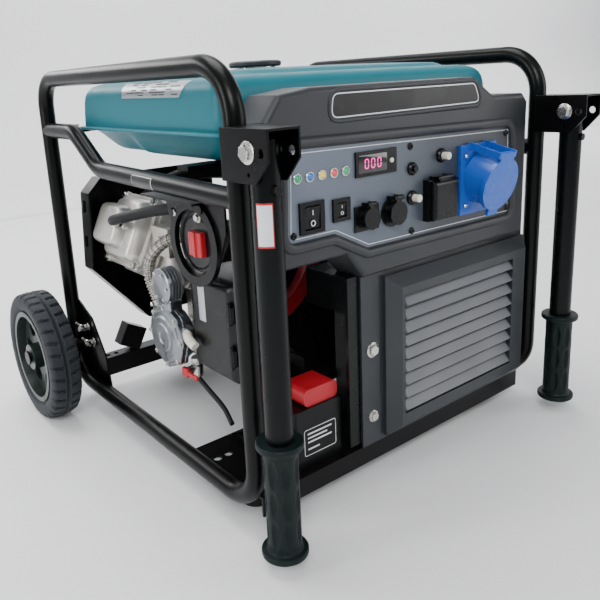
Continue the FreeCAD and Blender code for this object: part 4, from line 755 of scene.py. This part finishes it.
# %% [markdown]
# ## Hoses and their clamps
# The gas hose is a corrugated tube in a steel braid, and the breather is plain rubber.  A ring is
# carried along a smooth line through the fittings; for the corrugated one the ring's radius
# swings once for each rib.


# %% Corrugated hose, breather and clamps
def hose(name, points, radius, rib=0.0, pitch=4.0, per_rib=8, material=None):
    """A ring along the line; its radius swings by the rib's height once in each pitch."""
    _, run = smooth_line(points, 60)
    count = int(run[-1] / pitch * per_rib) if rib else 60
    line, run = smooth_line(points, count)
    r = radius + rib * np.sin(2 * np.pi * run / pitch) if rib else np.full(count, radius * 1.0)
    piece = several(name, [carried(line, r, 20)], material, smooth=60)
    with_uv(piece, 20, run)
    return piece, line


def clamp(line, where, radius, wide=7.0):
    """A band round the hose with a raised ear; where counts points from either end."""
    start, axis = line[where], line[where + 2] - line[where - 2]
    axis = axis / np.linalg.norm(axis)
    band = turned(start - axis * wide / 2, axis, [(radius, 0), (radius + 1.1, 0.3),
                                                  (radius + 1.1, wide - 0.3), (radius, wide)], 28)
    side = square_to(axis)[0]
    ear = turned(start + side * (radius + 0.5), side, [(3.4, 0), (3.4, 4.2), (2.6, 5)], 6)
    return [band, ear]


GAS_ROUTE = [(-246, 6, 226), (-247, 15, 244), (-247.5, 30, 272), (-245, 24, 302),
             (-236, -2, 326), (-222, -24, 336), (-210, -34, 338)]
gas_hose, gas_line = hose("corrugated_gas_hose", GAS_ROUTE, 8.2, 1.1, 5.2,
                          material=FINISH["hose_braid"])
BREATHER_ROUTE = [tuple(at_head(-6, 5, 279)), tuple(at_head(-8, 6, 292)), (-252, 122, 347),
                  (-245, 86, 356), (-229, 44, 366), (-213, 2, 373), (-196, -38, 377)]
breather, breather_line = hose("breather_rubber_hose", BREATHER_ROUTE, 8.6,
                               material=FINISH["hose_rubber"])
count = len(gas_line)
clamps = several("hose_clamps", clamp(gas_line, 14, 9.0) + clamp(gas_line, count - 26, 9.0)
                 + clamp(breather_line, 3, 8.8), FINISH["zinc_steel"])
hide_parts("gas_hose")
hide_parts("breather_hose")
print("gas hose points", count)

# %% [markdown]
# ## Gas regulator
# A zinc die casting in two storeys: a flat round diaphragm case held by a ring of screws, and a
# smaller finned one above.  Both are profiles turned about X, with the screws set on a circle.


# %% Diaphragm cases, fins and screws
SCREW_EARS, EAR_HEIGHT, FLANGE_MIDDLE, FLANGE_HALF = 8, 3.0, 12, 8


def ears(angle, along):
    """Extra radius: the upper halves of a cosine round the rim, only where the flange is."""
    lobe = np.clip(np.cos(SCREW_EARS * angle), 0, 1)
    return EAR_HEIGHT * lobe * (np.abs(along - FLANGE_MIDDLE) < FLANGE_HALF)


def screw_ring(centre, axis, circle, count, radius, height, phase=0.0):
    """Domed screws at equal angles on a circle."""
    u, v, n = square_to(axis)
    angles = np.arange(count) * 2 * np.pi / count + phase
    return [turned(np.asarray(centre) + circle * (math.cos(a) * u + math.sin(a) * v), axis,
                   [(radius, 0), (radius, height * 0.6), (radius * 0.7, height)], 12)
            for a in angles]


case = [(8, 0), (10, -1.6), (20, -1.6), (22, 0), (30, 0), (32, 2), (38, 2.4), (40, 4.6),
        (45, 4.8), (46, 6), (46, 12), (45, 13), (46, 14), (46, 19), (42, 20), (37, 34)]
fins = [(17, 0), (24, 1), (27, 3)] + [(27 if i % 2 else 22.5, 5 + 2.4 * (i + j))
                                      for i in range(9) for j in (0, 0.9)] + [(20, 31)]
regulator_grids = [turned((-262, -22, 191), (1, 0, 0), case, 96, 0, ears),
                   turned((-260, -21, 268), (1, 0, 0), fins, 48),
                   slab((-256, -234), (-40, -4), (214, 250), 6, 3, "yz"),
                   slab((-250, -236), (-76, -50), (196, 214), 4, 2, "yz"),
                   turned((-246, 6, 200), (0, 0, 1), [(10, 0), (10, 22), (8, 23), (8, 40)], 24),
                   turned((-246, 6, 221), (0, 0, 1), [(11.5, 0), (11.5, 7)], 6)]
regulator = several("gas_regulator_casting", regulator_grids, ZINC_CASTING)
regulator_screws = several("regulator_screws",
                           screw_ring((-257.3, -22, 191), (-1, 0, 0), 43.5, 8, 3.4, 3.4)
                           + screw_ring((-259.4, -21, 268), (-1, 0, 0), 21, 6, 2.6, 2.6),
                           FINISH["zinc_steel"])
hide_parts("gas_regulator")
barb = several("vent_elbow", [carried(smooth_line([(-243, -62, 204), (-252, -78, 206),
                                                   (-257, -92, 204), (-256, -104, 198)], 30)[0],
                                      6.6, 18)], FINISH["button_ivory"])
print("regulator grids", len(regulator_grids))

# %% [markdown]
# ## Air filter box
# A tall blow-moulded case with large radii and shallow upright ribs, closed by two over-centre
# clips.  Stacking one rounded outline, whose long sides ripple by the ribs, gives the case.


# %% Case, clips and blank strip label
FILTER_PLAN = rounded([(-245, -193), (-165, -193), (-165, -75), (-245, -75)], 20, 8)
RIB_PITCH, RIB_HEIGHT, RIB_MIDDLE, RIB_HALF = 38, 0.9, 231, 66
case_grid = layered(FILTER_PLAN, pillow(160, 302, 14, 6), "xy")
rib = RIB_HEIGHT * np.clip(np.cos((case_grid[..., 1] + 170) * 2 * np.pi / RIB_PITCH) * 6, -1, 1)
ribbed = (case_grid[..., 0] < -240) & (np.abs(case_grid[..., 2] - RIB_MIDDLE) < RIB_HALF)
case_grid[..., 0] -= np.where(ribbed, rib, 0)
filter_case = several("air_filter_case", [case_grid,
                                          slab((-243, -166), (-190, -78), (226, 232), 14, 1.2,
                                               "xy")], FINISH["black_plastic"], smooth=50)
clips = several("filter_clips", [slab((-249, -243), (-188, -176), (190, 214), 3, 1.5, "yz"),
                                 slab((-249, -243), (-188, -176), (250, 274), 3, 1.5, "yz"),
                                 slab((-250, -246), (-185, -179), (186, 218), 2, 1, "yz"),
                                 slab((-250, -246), (-185, -179), (246, 278), 2, 1, "yz")],
                HANDLE_COAT)
strip = several("filter_strip_label", [slab((-246.4, -245.2), (-122, -106), (236, 290), 1.5, 0.3,
                                            "yz")], SILVER_FOIL)
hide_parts("air_filter_box")
print("filter case points", case_grid.size // 3)

# %% [markdown]
# ## Fuel selector
# A black dial turns inside the bracket's ring, with a red grip set across it.


# %% Dial and red grip
dial = several("selector_dial", [turned((-250, -121, 348), (1, 0, 0),
                                        [(10, 0.5), (34, 0.5), (36, 2), (40, 2), (42.5, 0),
                                         (43, 3), (43, 7)], 64)],
               FINISH["black_plastic"], "selector_knob")
grip_bar = several("selector_grip", [slab((-257.5, -248), (-142, -111), (331, 364), 3, 2, "yz"),
                                     slab((-260, -256), (-131, -125), (331, 364), 2, 1, "yz")],
                   FINISH["red_plastic"], "selector_knob")
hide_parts("fuel_selector")
print("dial points", len(dial.data.vertices))

# %% [markdown]
# ## Bolts
# Every fastener is a zinc plated hex bolt or screw with a washer, apart from the wing bolts that
# tighten the wheel brackets.  Small profiles turned in six sides are enough, as there are many.


# %% Hex bolts, wing bolts and panel screws
hardware = []
for side in (-1, 1):
    x = side * 288
    for end in (-1, 1):
        hardware += bolt((x + end * 20.5, -328.6, 482), (end, 0, 0), 15, 6.4, 6, 1.4)
    hardware.append(turned((x - 22, -328.6, 482), (1, 0, 0), [(4.95, 0), (4.95, 44)], 20))
    for y, z in ((230, 144), (211, 121)):
        base = np.array([side * 277.0, y, z])
        hardware.append(turned(base, (side, 0, 0), [(8, 0), (8, 1.5), (6.2, 2), (6.2, 9),
                                                    (5, 10), (5, 17)], 20))
        for wing in (-1, 1):
            line = smooth_line([base + (side * 6, wing * 3, 0), base + (side * 11, wing * 9, 3),
                                base + (side * 17, wing * 13, 9)], 12)[0]
            hardware.append(carried(line, np.linspace(3.2, 2.2, 12), 10))
    hardware += bolt((-259 if side < 0 else 261, 219, 490), (0, 0, 1), 10, 6, 6, 1.2)
for u, v in ((-44, -54), (57, -54), (-44, 54), (57, 54)):
    hardware += bolt(at_head(u, v, 250.6), OUT, 10, 6)
for y, z in ((-80, 384), (-135, 384)):
    hardware += bolt((-253.5, y, z), (-1, 0, 0), 9, 5)
for x, z in ((93, 433), (93, 363), (155, 435), (155, 363)):
    hardware.append(turned((x, -286.8, z), (0, -1, 0),
                           [(3.2, 0), (3.2, 0.5), (2.2, 1.8), (0.9, 1.2)], 16))
for z, wide in ((92, 11), (190, 14)):
    hardware += bolt((-78, -268, z), (0, -1, 0), wide, 5.5)
bolts = several("bolts_and_screws", hardware, FINISH["zinc_steel"], smooth=30)
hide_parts("fasteners")
print("separate pieces of hardware", len(hardware))

# %% [markdown]
# ## Fuel valve
# A small zinc valve under the filter has a red lever, and its drain hose hangs to the base.


# %% Valve, lever and drain hose
valve = several("valve_body_turned", [turned((-226, -52, 124), (0, 0, 1),
                                             [(6, 0), (6, 5), (10, 6), (10, 22), (8, 24), (8, 34),
                                              (6, 36)], 24),
                                      turned((-236, -52, 140), (-1, 0, 0), [(7, 0), (7, 7), (6, 8)],
                                             20)], FINISH["zinc_steel"])
lever = several("valve_lever", [slab((-248, -242), (-60, -44), (133, 147), 3, 1.5, "yz"),
                                slab((-247, -243), (-84, -56), (136, 143), 2, 1, "yz")],
                FINISH["red_plastic"])
drain, _ = hose("drain_hose", [(-226, -52, 126), (-222, -78, 110), (-222, -112, 96),
                                        (-228, -140, 84)], 3.6, material=FINISH["hose_rubber"])
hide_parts("fuel_valve")
print("drain hose points", len(drain.data.vertices))

# %% [markdown]
# ## Control plate details
# The plate's border is a printed line, drawn here as a hair of raised ink so that it catches the
# light; the lamps sit in small bezels, and the meter glows behind smoked acrylic with figures
# made of seven bars each.


# %% Printed borders
def inked_line(name, corners, corner, by, y, width, material):
    """The outline moved in, then a flat ribbon of one width that follows it round."""
    outer = inset(rounded(corners, corner, 6), by)
    inner = inset(outer, width)
    rings = []
    for level in (y, y - 0.25):
        rings += [np.column_stack([outer[:, 0], np.full(len(outer), level), outer[:, 1]]),
                  np.column_stack([inner[:, 0], np.full(len(inner), level), inner[:, 1]])]
    grid = np.stack([rings[0], rings[2], rings[3], rings[1], rings[0]])
    return several(name, [grid], material, smooth=20, loops=True)


PLATE = [(-224, 366), (-151, 366), (-95, 338), (209, 334), (203, 464), (-219, 472)]
BADGE = [(-154, 501), (133, 503), (118, 532), (-150, 532)]
borders = [inked_line("plate_border", PLATE, 6, 3.5, -280.0, 0.9, WHITE_INK),
           inked_line("badge_border", BADGE, 12, 1.0, -280.0, 1.6, SILVER_FOIL)]
print("printed borders", len(borders))

# %% Lamp bezels, meter frame and figures
bezels = [turned((-207 + 18.8 * i, -279.9, 439.5), (0, -1, 0),
                 [(6.4, 0), (6.4, 1.0), (5.6, 1.6), (4.7, 1.6), (4.7, 0.4)], 32) for i in range(5)]
bezels = several("lamp_bezels", [np.concatenate([b, b[:1]]) for b in bezels],
                 FINISH["zinc_steel"], loops=True)


def bars(shown, x, z, tall):
    """The lit bars of one seven-bar figure, as thin slabs; shown names the bars from a to g."""
    half, mid, wide = tall * 0.26, tall / 2, tall * 0.12
    spots = {"a": (0, mid, 1), "b": (half, mid / 2, 0), "c": (half, -mid / 2, 0),
             "d": (0, -mid, 1), "e": (-half, -mid / 2, 0), "f": (-half, mid / 2, 0),
             "g": (0, 0, 1)}
    made_bars = []
    for bar in shown:
        dx, dz, flat = spots[bar]
        hx, hz = (half * 0.8, wide / 2) if flat else (wide / 2, mid / 2 * 0.78)
        made_bars.append(slab((x + dx - hx, x + dx + hx), (-290.7, -290.3), (z + dz - hz,
                              z + dz + hz), 0.3, 0.1))
    return made_bars


figure_ink = ramped("lit_figures", [(0.0, "#F02C9A"), (1.0, "#F02C9A")], -0.2, 0.0, 0.3,
                    "CONSTANT", 2.2)
low, high = (np.array(c) * 1000 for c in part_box("output_meter"))
meter_y = low[1]
window = several("meter_window", [slab((-112, -62), (meter_y - 0.25, meter_y + 0.4), (433, 455), 2,
                                       0.15)], CLEAR_BLACK)
figures = []
for place, shown in enumerate(("abcdef", "abcdef", "abcdef")):
    figures += bars(shown, -98 + place * 11, 444, 11)
figures = [grid + np.array([0, meter_y + 290.7 - 0.5, 0]) for grid in figures]
figures = several("meter_figures", figures, figure_ink)
print("meter face at", meter_y)

# %% [markdown]
# ## Blank labels
# The machine carries foil and vinyl labels.  Here they are blank shapes that keep only the size,
# place and colour.  Those on tubes are patches bent round the tube's own radius.


# %% Patches on flat skins and on tubes
def wrapped_patch(name, start, along, radius, angles, length, material, body="chassis"):
    """Part of a thin tube: an arc outside and one inside, joined and carried along the axis."""
    axis = np.asarray(along, float) / np.linalg.norm(along)
    t = np.radians(np.linspace(angles[0], angles[1], 14))
    side = np.array([-1.0, 0, 0])
    side = side - axis * (side @ axis)
    side /= np.linalg.norm(side)
    up = np.cross(axis, side)
    arc = np.cos(t)[:, None] * side + np.sin(t)[:, None] * up
    ring = np.concatenate([arc * (radius + 0.35), arc[::-1] * (radius + 0.02)])
    rows = np.asarray(start, float) + np.array([0, length])[:, None, None] * axis
    return several(name, [rows + ring[None]], material, body, 30)


rail = np.array([0, 357.0, 7.0])
mid_start = np.array([-284.0, -96, 429.6])
rail_label = [wrapped_patch("rail_label_rim", mid_start - rail / 357 * 1.2, rail, 12.5, (-42, 32),
                            54.4, WHITE_INK),
              wrapped_patch("rail_label", mid_start, rail, 12.8, (-38, 28), 52, BLACK_VINYL)]
tube_label = [wrapped_patch("handle_label_rim", (-288, -328.6, 386), (0, 0, 1), 16.0, (10, 74), 46,
                            FINISH["red_plastic"], "left_folding_handle"),
              wrapped_patch("handle_label", (-288, -328.6, 388), (0, 0, 1), 16.3, (14, 70), 42,
                            WHITE_INK, "left_folding_handle")]
battery_label = inked_line("battery_label_line", [(-190, 66), (-134, 66), (-134, 104),
                                                  (-190, 104)], 4, 0, -252.05, 0.9, WHITE_INK)
battery_rows = several("battery_label_rows", [slab((-184, -184 + w), (-252.5, -252.1),
                                                   (z, z + 2.2), 0.4, 0.1)
                                              for z, w in ((96, 42), (90, 34), (84, 42), (74, 20))],
                       WHITE_INK)
print("labels", len(rail_label + tube_label) + 1)

# %% [markdown]
# ## Inverter cover
# The cover is one moulding, but its slats are a paler grey than the frame round them.  One
# material covers both: it mixes by a mask on the piece's own X and Z.


# %% Cover in two greys
def framed_finish(name, outside, inside, x_limits, z_limits):
    """The inner colour where X and Z both lie between their limits, the outer one elsewhere."""
    material, tree, shader, place = blank_material(name)
    axes = add(tree, "ShaderNodeSeparateXYZ", Vector=place)
    masks = []
    for axis, (low_limit, high_limit) in (("X", x_limits), ("Z", z_limits)):
        above = add(tree, "ShaderNodeMath", {"operation": "GREATER_THAN"},
                    i0=axes.outputs[axis], i1=low_limit * MM)
        below = add(tree, "ShaderNodeMath", {"operation": "LESS_THAN"},
                    i0=axes.outputs[axis], i1=high_limit * MM)
        masks.append(add(tree, "ShaderNodeMath", {"operation": "MULTIPLY"},
                         i0=above.outputs[0], i1=below.outputs[0]).outputs[0])
    both = add(tree, "ShaderNodeMath", {"operation": "MULTIPLY"}, i0=masks[0], i1=masks[1])
    shade = add(tree, "ShaderNodeMix", {"data_type": "RGBA"}, i0=both.outputs[0],
                i6=linear(outside), i7=linear(inside)).outputs[2]
    grain = add(tree, "ShaderNodeTexNoise", Vector=place, Scale=1000 / 1.6, Detail=3.0)
    clouds = add(tree, "ShaderNodeTexNoise", Vector=place, Scale=1000 / 70, Detail=4.0)
    rough = add(tree, "ShaderNodeMapRange", Value=clouds.outputs[0], i1=0.3, i2=0.7, i3=0.34,
                i4=0.46)
    rounded_edge = add(tree, "ShaderNodeBevel", {"samples": 3}, Radius=1.2 * MM)
    bump = add(tree, "ShaderNodeBump", Strength=0.3, Distance=0.12 * MM, Height=grain.outputs[0],
               Normal=rounded_edge.outputs[0])
    tree.links.new(shade, shader.inputs["Base Color"])
    tree.links.new(rough.outputs[0], shader.inputs["Roughness"])
    tree.links.new(bump.outputs[0], shader.inputs["Normal"])
    return material


cover_finish = framed_finish("two_grey_abs", "#24282C", "#5A5D62", (-33, 209), (91, 259))
NODES["inverter_cover"].data.materials[0] = cover_finish
for node_name in ("front_tray", "rear_crossmember", "handle_brackets", "filter_bracket",
                  "tank_supports"):
    NODES[node_name].data.materials[0] = SHEET_COAT
for node_name in ("left_handle", "right_handle"):
    NODES[node_name].data.materials[0] = HANDLE_COAT
NODES["alternator_housing"].data.materials[0] = FINISH["dark_steel"]
print("finishes in all", len(FINISH))

# %% [markdown]
# ## Fascia moulding
# Round the plate the fascia rises in a soft roll, and the blank badge sits in a shallow one of its
# own.  A half-round section carried round the plate's own outline gives the roll.


# %% Rolled rims
def rolled_rim(name, corners, corner, by, wide, high, y, material):
    """A half ellipse, wide by high, carried round the outline; by moves its middle in or out."""
    t = np.linspace(0, np.pi, 9)
    rings = []
    for across, rise in zip(np.cos(t) * wide / 2, np.sin(t) * high):
        flat = inset(rounded(corners, corner, 8), by + across)
        rings.append(np.column_stack([flat[:, 0], np.full(len(flat), y - rise), flat[:, 1]]))
    grid = np.stack(rings + [rings[0] + np.array([0, 0.8, 0]), rings[0]])
    return several(name, [grid], material, smooth=60, loops=True)


plate_roll = rolled_rim("plate_roll", PLATE, 12, -7.5, 13, 5.5, -279.6,
                        FINISH["charcoal_plastic"])
badge_roll = rolled_rim("badge_roll", BADGE, 15, -2.5, 5, 1.8, -279.8,
                        FINISH["charcoal_plastic"])
print("fascia rolls", plate_roll.name, badge_roll.name)

# %% [markdown]
# ## Switch marks and dark fixings
# The rockers carry the usual bar and ring, which are plain signs and no lettering.  The plate is
# held by black screws, and the reset button and the snap buttons are dark too.


# %% Bar and ring on the rockers
def sign_marks(name, node, body, tall):
    """A bar above and a ring below, laid 0.25 mm proud of the rocker's front face."""
    low_corner, high_corner = (np.array(c) * 1000 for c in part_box(node))
    x, z = (low_corner[0] + high_corner[0]) / 2, (low_corner[2] + high_corner[2]) / 2
    y = low_corner[1] - 0.25
    ring = turned((x, y, z - tall * 0.5), (0, 1, 0), [(tall * 0.2, 0), (tall * 0.28, 0),
                                                      (tall * 0.28, 0.6), (tall * 0.2, 0.6)], 24)
    bar = slab((x - tall * 0.04, x + tall * 0.04), (y, y + 0.6), (z + tall * 0.25,
                                                                 z + tall * 0.7), 0.2, 0.05)
    marks = several(name, [bar], WHITE_INK, body)
    rings = several(name + "_ring", [np.concatenate([ring, ring[:1]])], WHITE_INK, body,
                    loops=True)


sign_marks("start_marks", "start_rocker", "start_key", 13)
sign_marks("economy_marks", "economy_rocker", "economy_key", 8)
for node_name in ("reset_button", "left_snap_button", "right_snap_button"):
    NODES[node_name].data.materials[0] = FINISH["black_plastic"]
plate_screws = []
for x, z in ((-16, 457), (194, 456), (204, 343), (-216, 374), (-13, 345)):
    plate_screws.append(turned((x, -280, z), (0, -1, 0), [(4.6, 0), (4.6, 0.8), (3.6, 2.2),
                                                          (1.8, 2.8), (1.3, 1.6)], 20))
plate_screws = several("plate_screws", plate_screws, FINISH["black_plastic"])
print("plate screws made:", plate_screws.name)

# %% [markdown]
# ## Tank label
# A foil label lies along the shoulder on the left, bent with the pressing.  Short dark strips
# stand for its print and say nothing.


# %% Foil on the shoulder
def shoulder_strip(y_low, y_high, levels, lift, trim=0.0, rows=9):
    """A strip that repeats the tank's own section between two levels, lifted a little.

    Its ends lean inwards by the trim, as the corners of the real label do.
    """
    known = np.array([(level, by - TANK_HALF) for level, by, _ in TANK_LAYERS if level > 492.5])
    z = np.linspace(levels[0], levels[1], rows)
    x = np.interp(z, known[:, 0], known[:, 1]) - lift
    slope = np.gradient(x, z)
    norm = np.stack([-np.ones_like(slope), slope], 1)
    norm /= np.linalg.norm(norm, axis=1)[:, None]
    skew = np.linspace(trim, 0, rows)
    ys = np.linspace(0, 1, 7)
    outer = np.stack([np.repeat(x[:, None], 7, 1),
                      y_low + skew[:, None] + ys[None, :] * (y_high - y_low - 2 * skew[:, None]),
                      np.repeat(z[:, None], 7, 1)], -1)
    inner = outer + np.array([norm[:, 0] * -0.8, np.zeros(rows), norm[:, 1] * -0.8]).T[:, None]
    return np.concatenate([outer, inner[:, ::-1]], axis=1)


foil = several("tank_foil_label", [shoulder_strip(-124, 60, (534, 556.4), 0.5, 12)], SILVER_FOIL,
               smooth=60)
foil_back = several("tank_foil_shade", [shoulder_strip(-128, 64, (532, 557.0), 0.25, 12)],
                    FINISH["tank_enamel"], smooth=60)
foil_rows = []
for line, level in enumerate((537.2, 540.6, 544.0, 547.4, 550.6, 553.2)):
    breaks = np.cumsum([0, 34, 18, 41, 27, 30][line % 3:][:4])
    foil_rows += [shoulder_strip(-108 + start, -108 + start + 15 + 9 * (line % 2),
                                 (level, level + 1.3), 0.95, rows=3) for start in breaks]
foil_print = several("tank_foil_rows", foil_rows, BLACK_VINYL, smooth=60)
print("foil rows", len(foil_rows))

# %% [markdown]
# ## Crankcase
# Beside the heat shield the crankcase closes with a cast side cover: a flange with a ring of hex
# bolts, a round boss, ribs that run out from it and the oil plug.  Its casting is rougher and
# greyer than the rocker cover, so it gets its own finish.


# %% Side cover, ribs and bolts
SAND_CASTING = skin_finish("sand_cast_aluminium", "#85837F", "#9C9A95", (0.46, 0.6), 0.75, 2.2,
                           0.45, 35, 1.2, "#B4B1AB")
for slot in NODES["crankcase"].material_slots:
    slot.material = SAND_CASTING
CASE_BACK = 237.4
cover_plan = rounded([(18, 106), (92, 106), (92, 276), (18, 276)], 20)
case_cover = [layered(cover_plan, [(CASE_BACK - 0.4, 0), (CASE_BACK + 3.0, 0),
                                   (CASE_BACK + 4.0, 1.2)], "xz"),
              layered(inset(cover_plan, 12), [(CASE_BACK + 3.6, 0), (CASE_BACK + 6.0, 1.5),
                                              (CASE_BACK + 7.2, 4.5)], "xz"),
              turned((55, CASE_BACK, 204), (0, 1, 0), [(21, 6), (21, 9), (19.5, 11), (15, 11.4),
                                                       (13.5, 10), (6, 10), (5, 9.6)], 48)]
for angle in np.radians([45, 90, 135, 225, 270, 315]):
    away = np.array([math.cos(angle), math.sin(angle)])
    side = np.array([-away[1], away[0]]) * 2.2
    rib = np.array([away * 18 - side, away * 33 - side, away * 33 + side, away * 18 + side])
    case_cover.append(layered(rib + (55, 204), [(CASE_BACK + 6, 0), (CASE_BACK + 9.4, 0),
                                                (CASE_BACK + 10.2, 0.8)], "xz"))
case_casting = several("crankcase_side_cover", case_cover, SAND_CASTING)
case_bolts = [grid for x, z in ((24, 124), (24, 168), (24, 214), (24, 258), (55, 270),
                                (86, 258), (86, 214), (86, 168), (86, 124), (55, 112))
              for grid in bolt((x, CASE_BACK + 3.6, z), (0, 1, 0), 8, 5)]
case_screws = several("crankcase_bolts", case_bolts, FINISH["zinc_steel"])
oil_plug = several("oil_filler_plug", [turned((55, CASE_BACK + 6.4, 142), (0, 1, 0),
                                              [(13, 0), (13, 3), (11.5, 4), (11.5, 11), (10, 12)],
                                              36, 0, lambda a, d: 0.5 * np.sin(18 * a))],
                   FINISH["black_plastic"])
print("crankcase bolts", len(case_bolts) // 2)
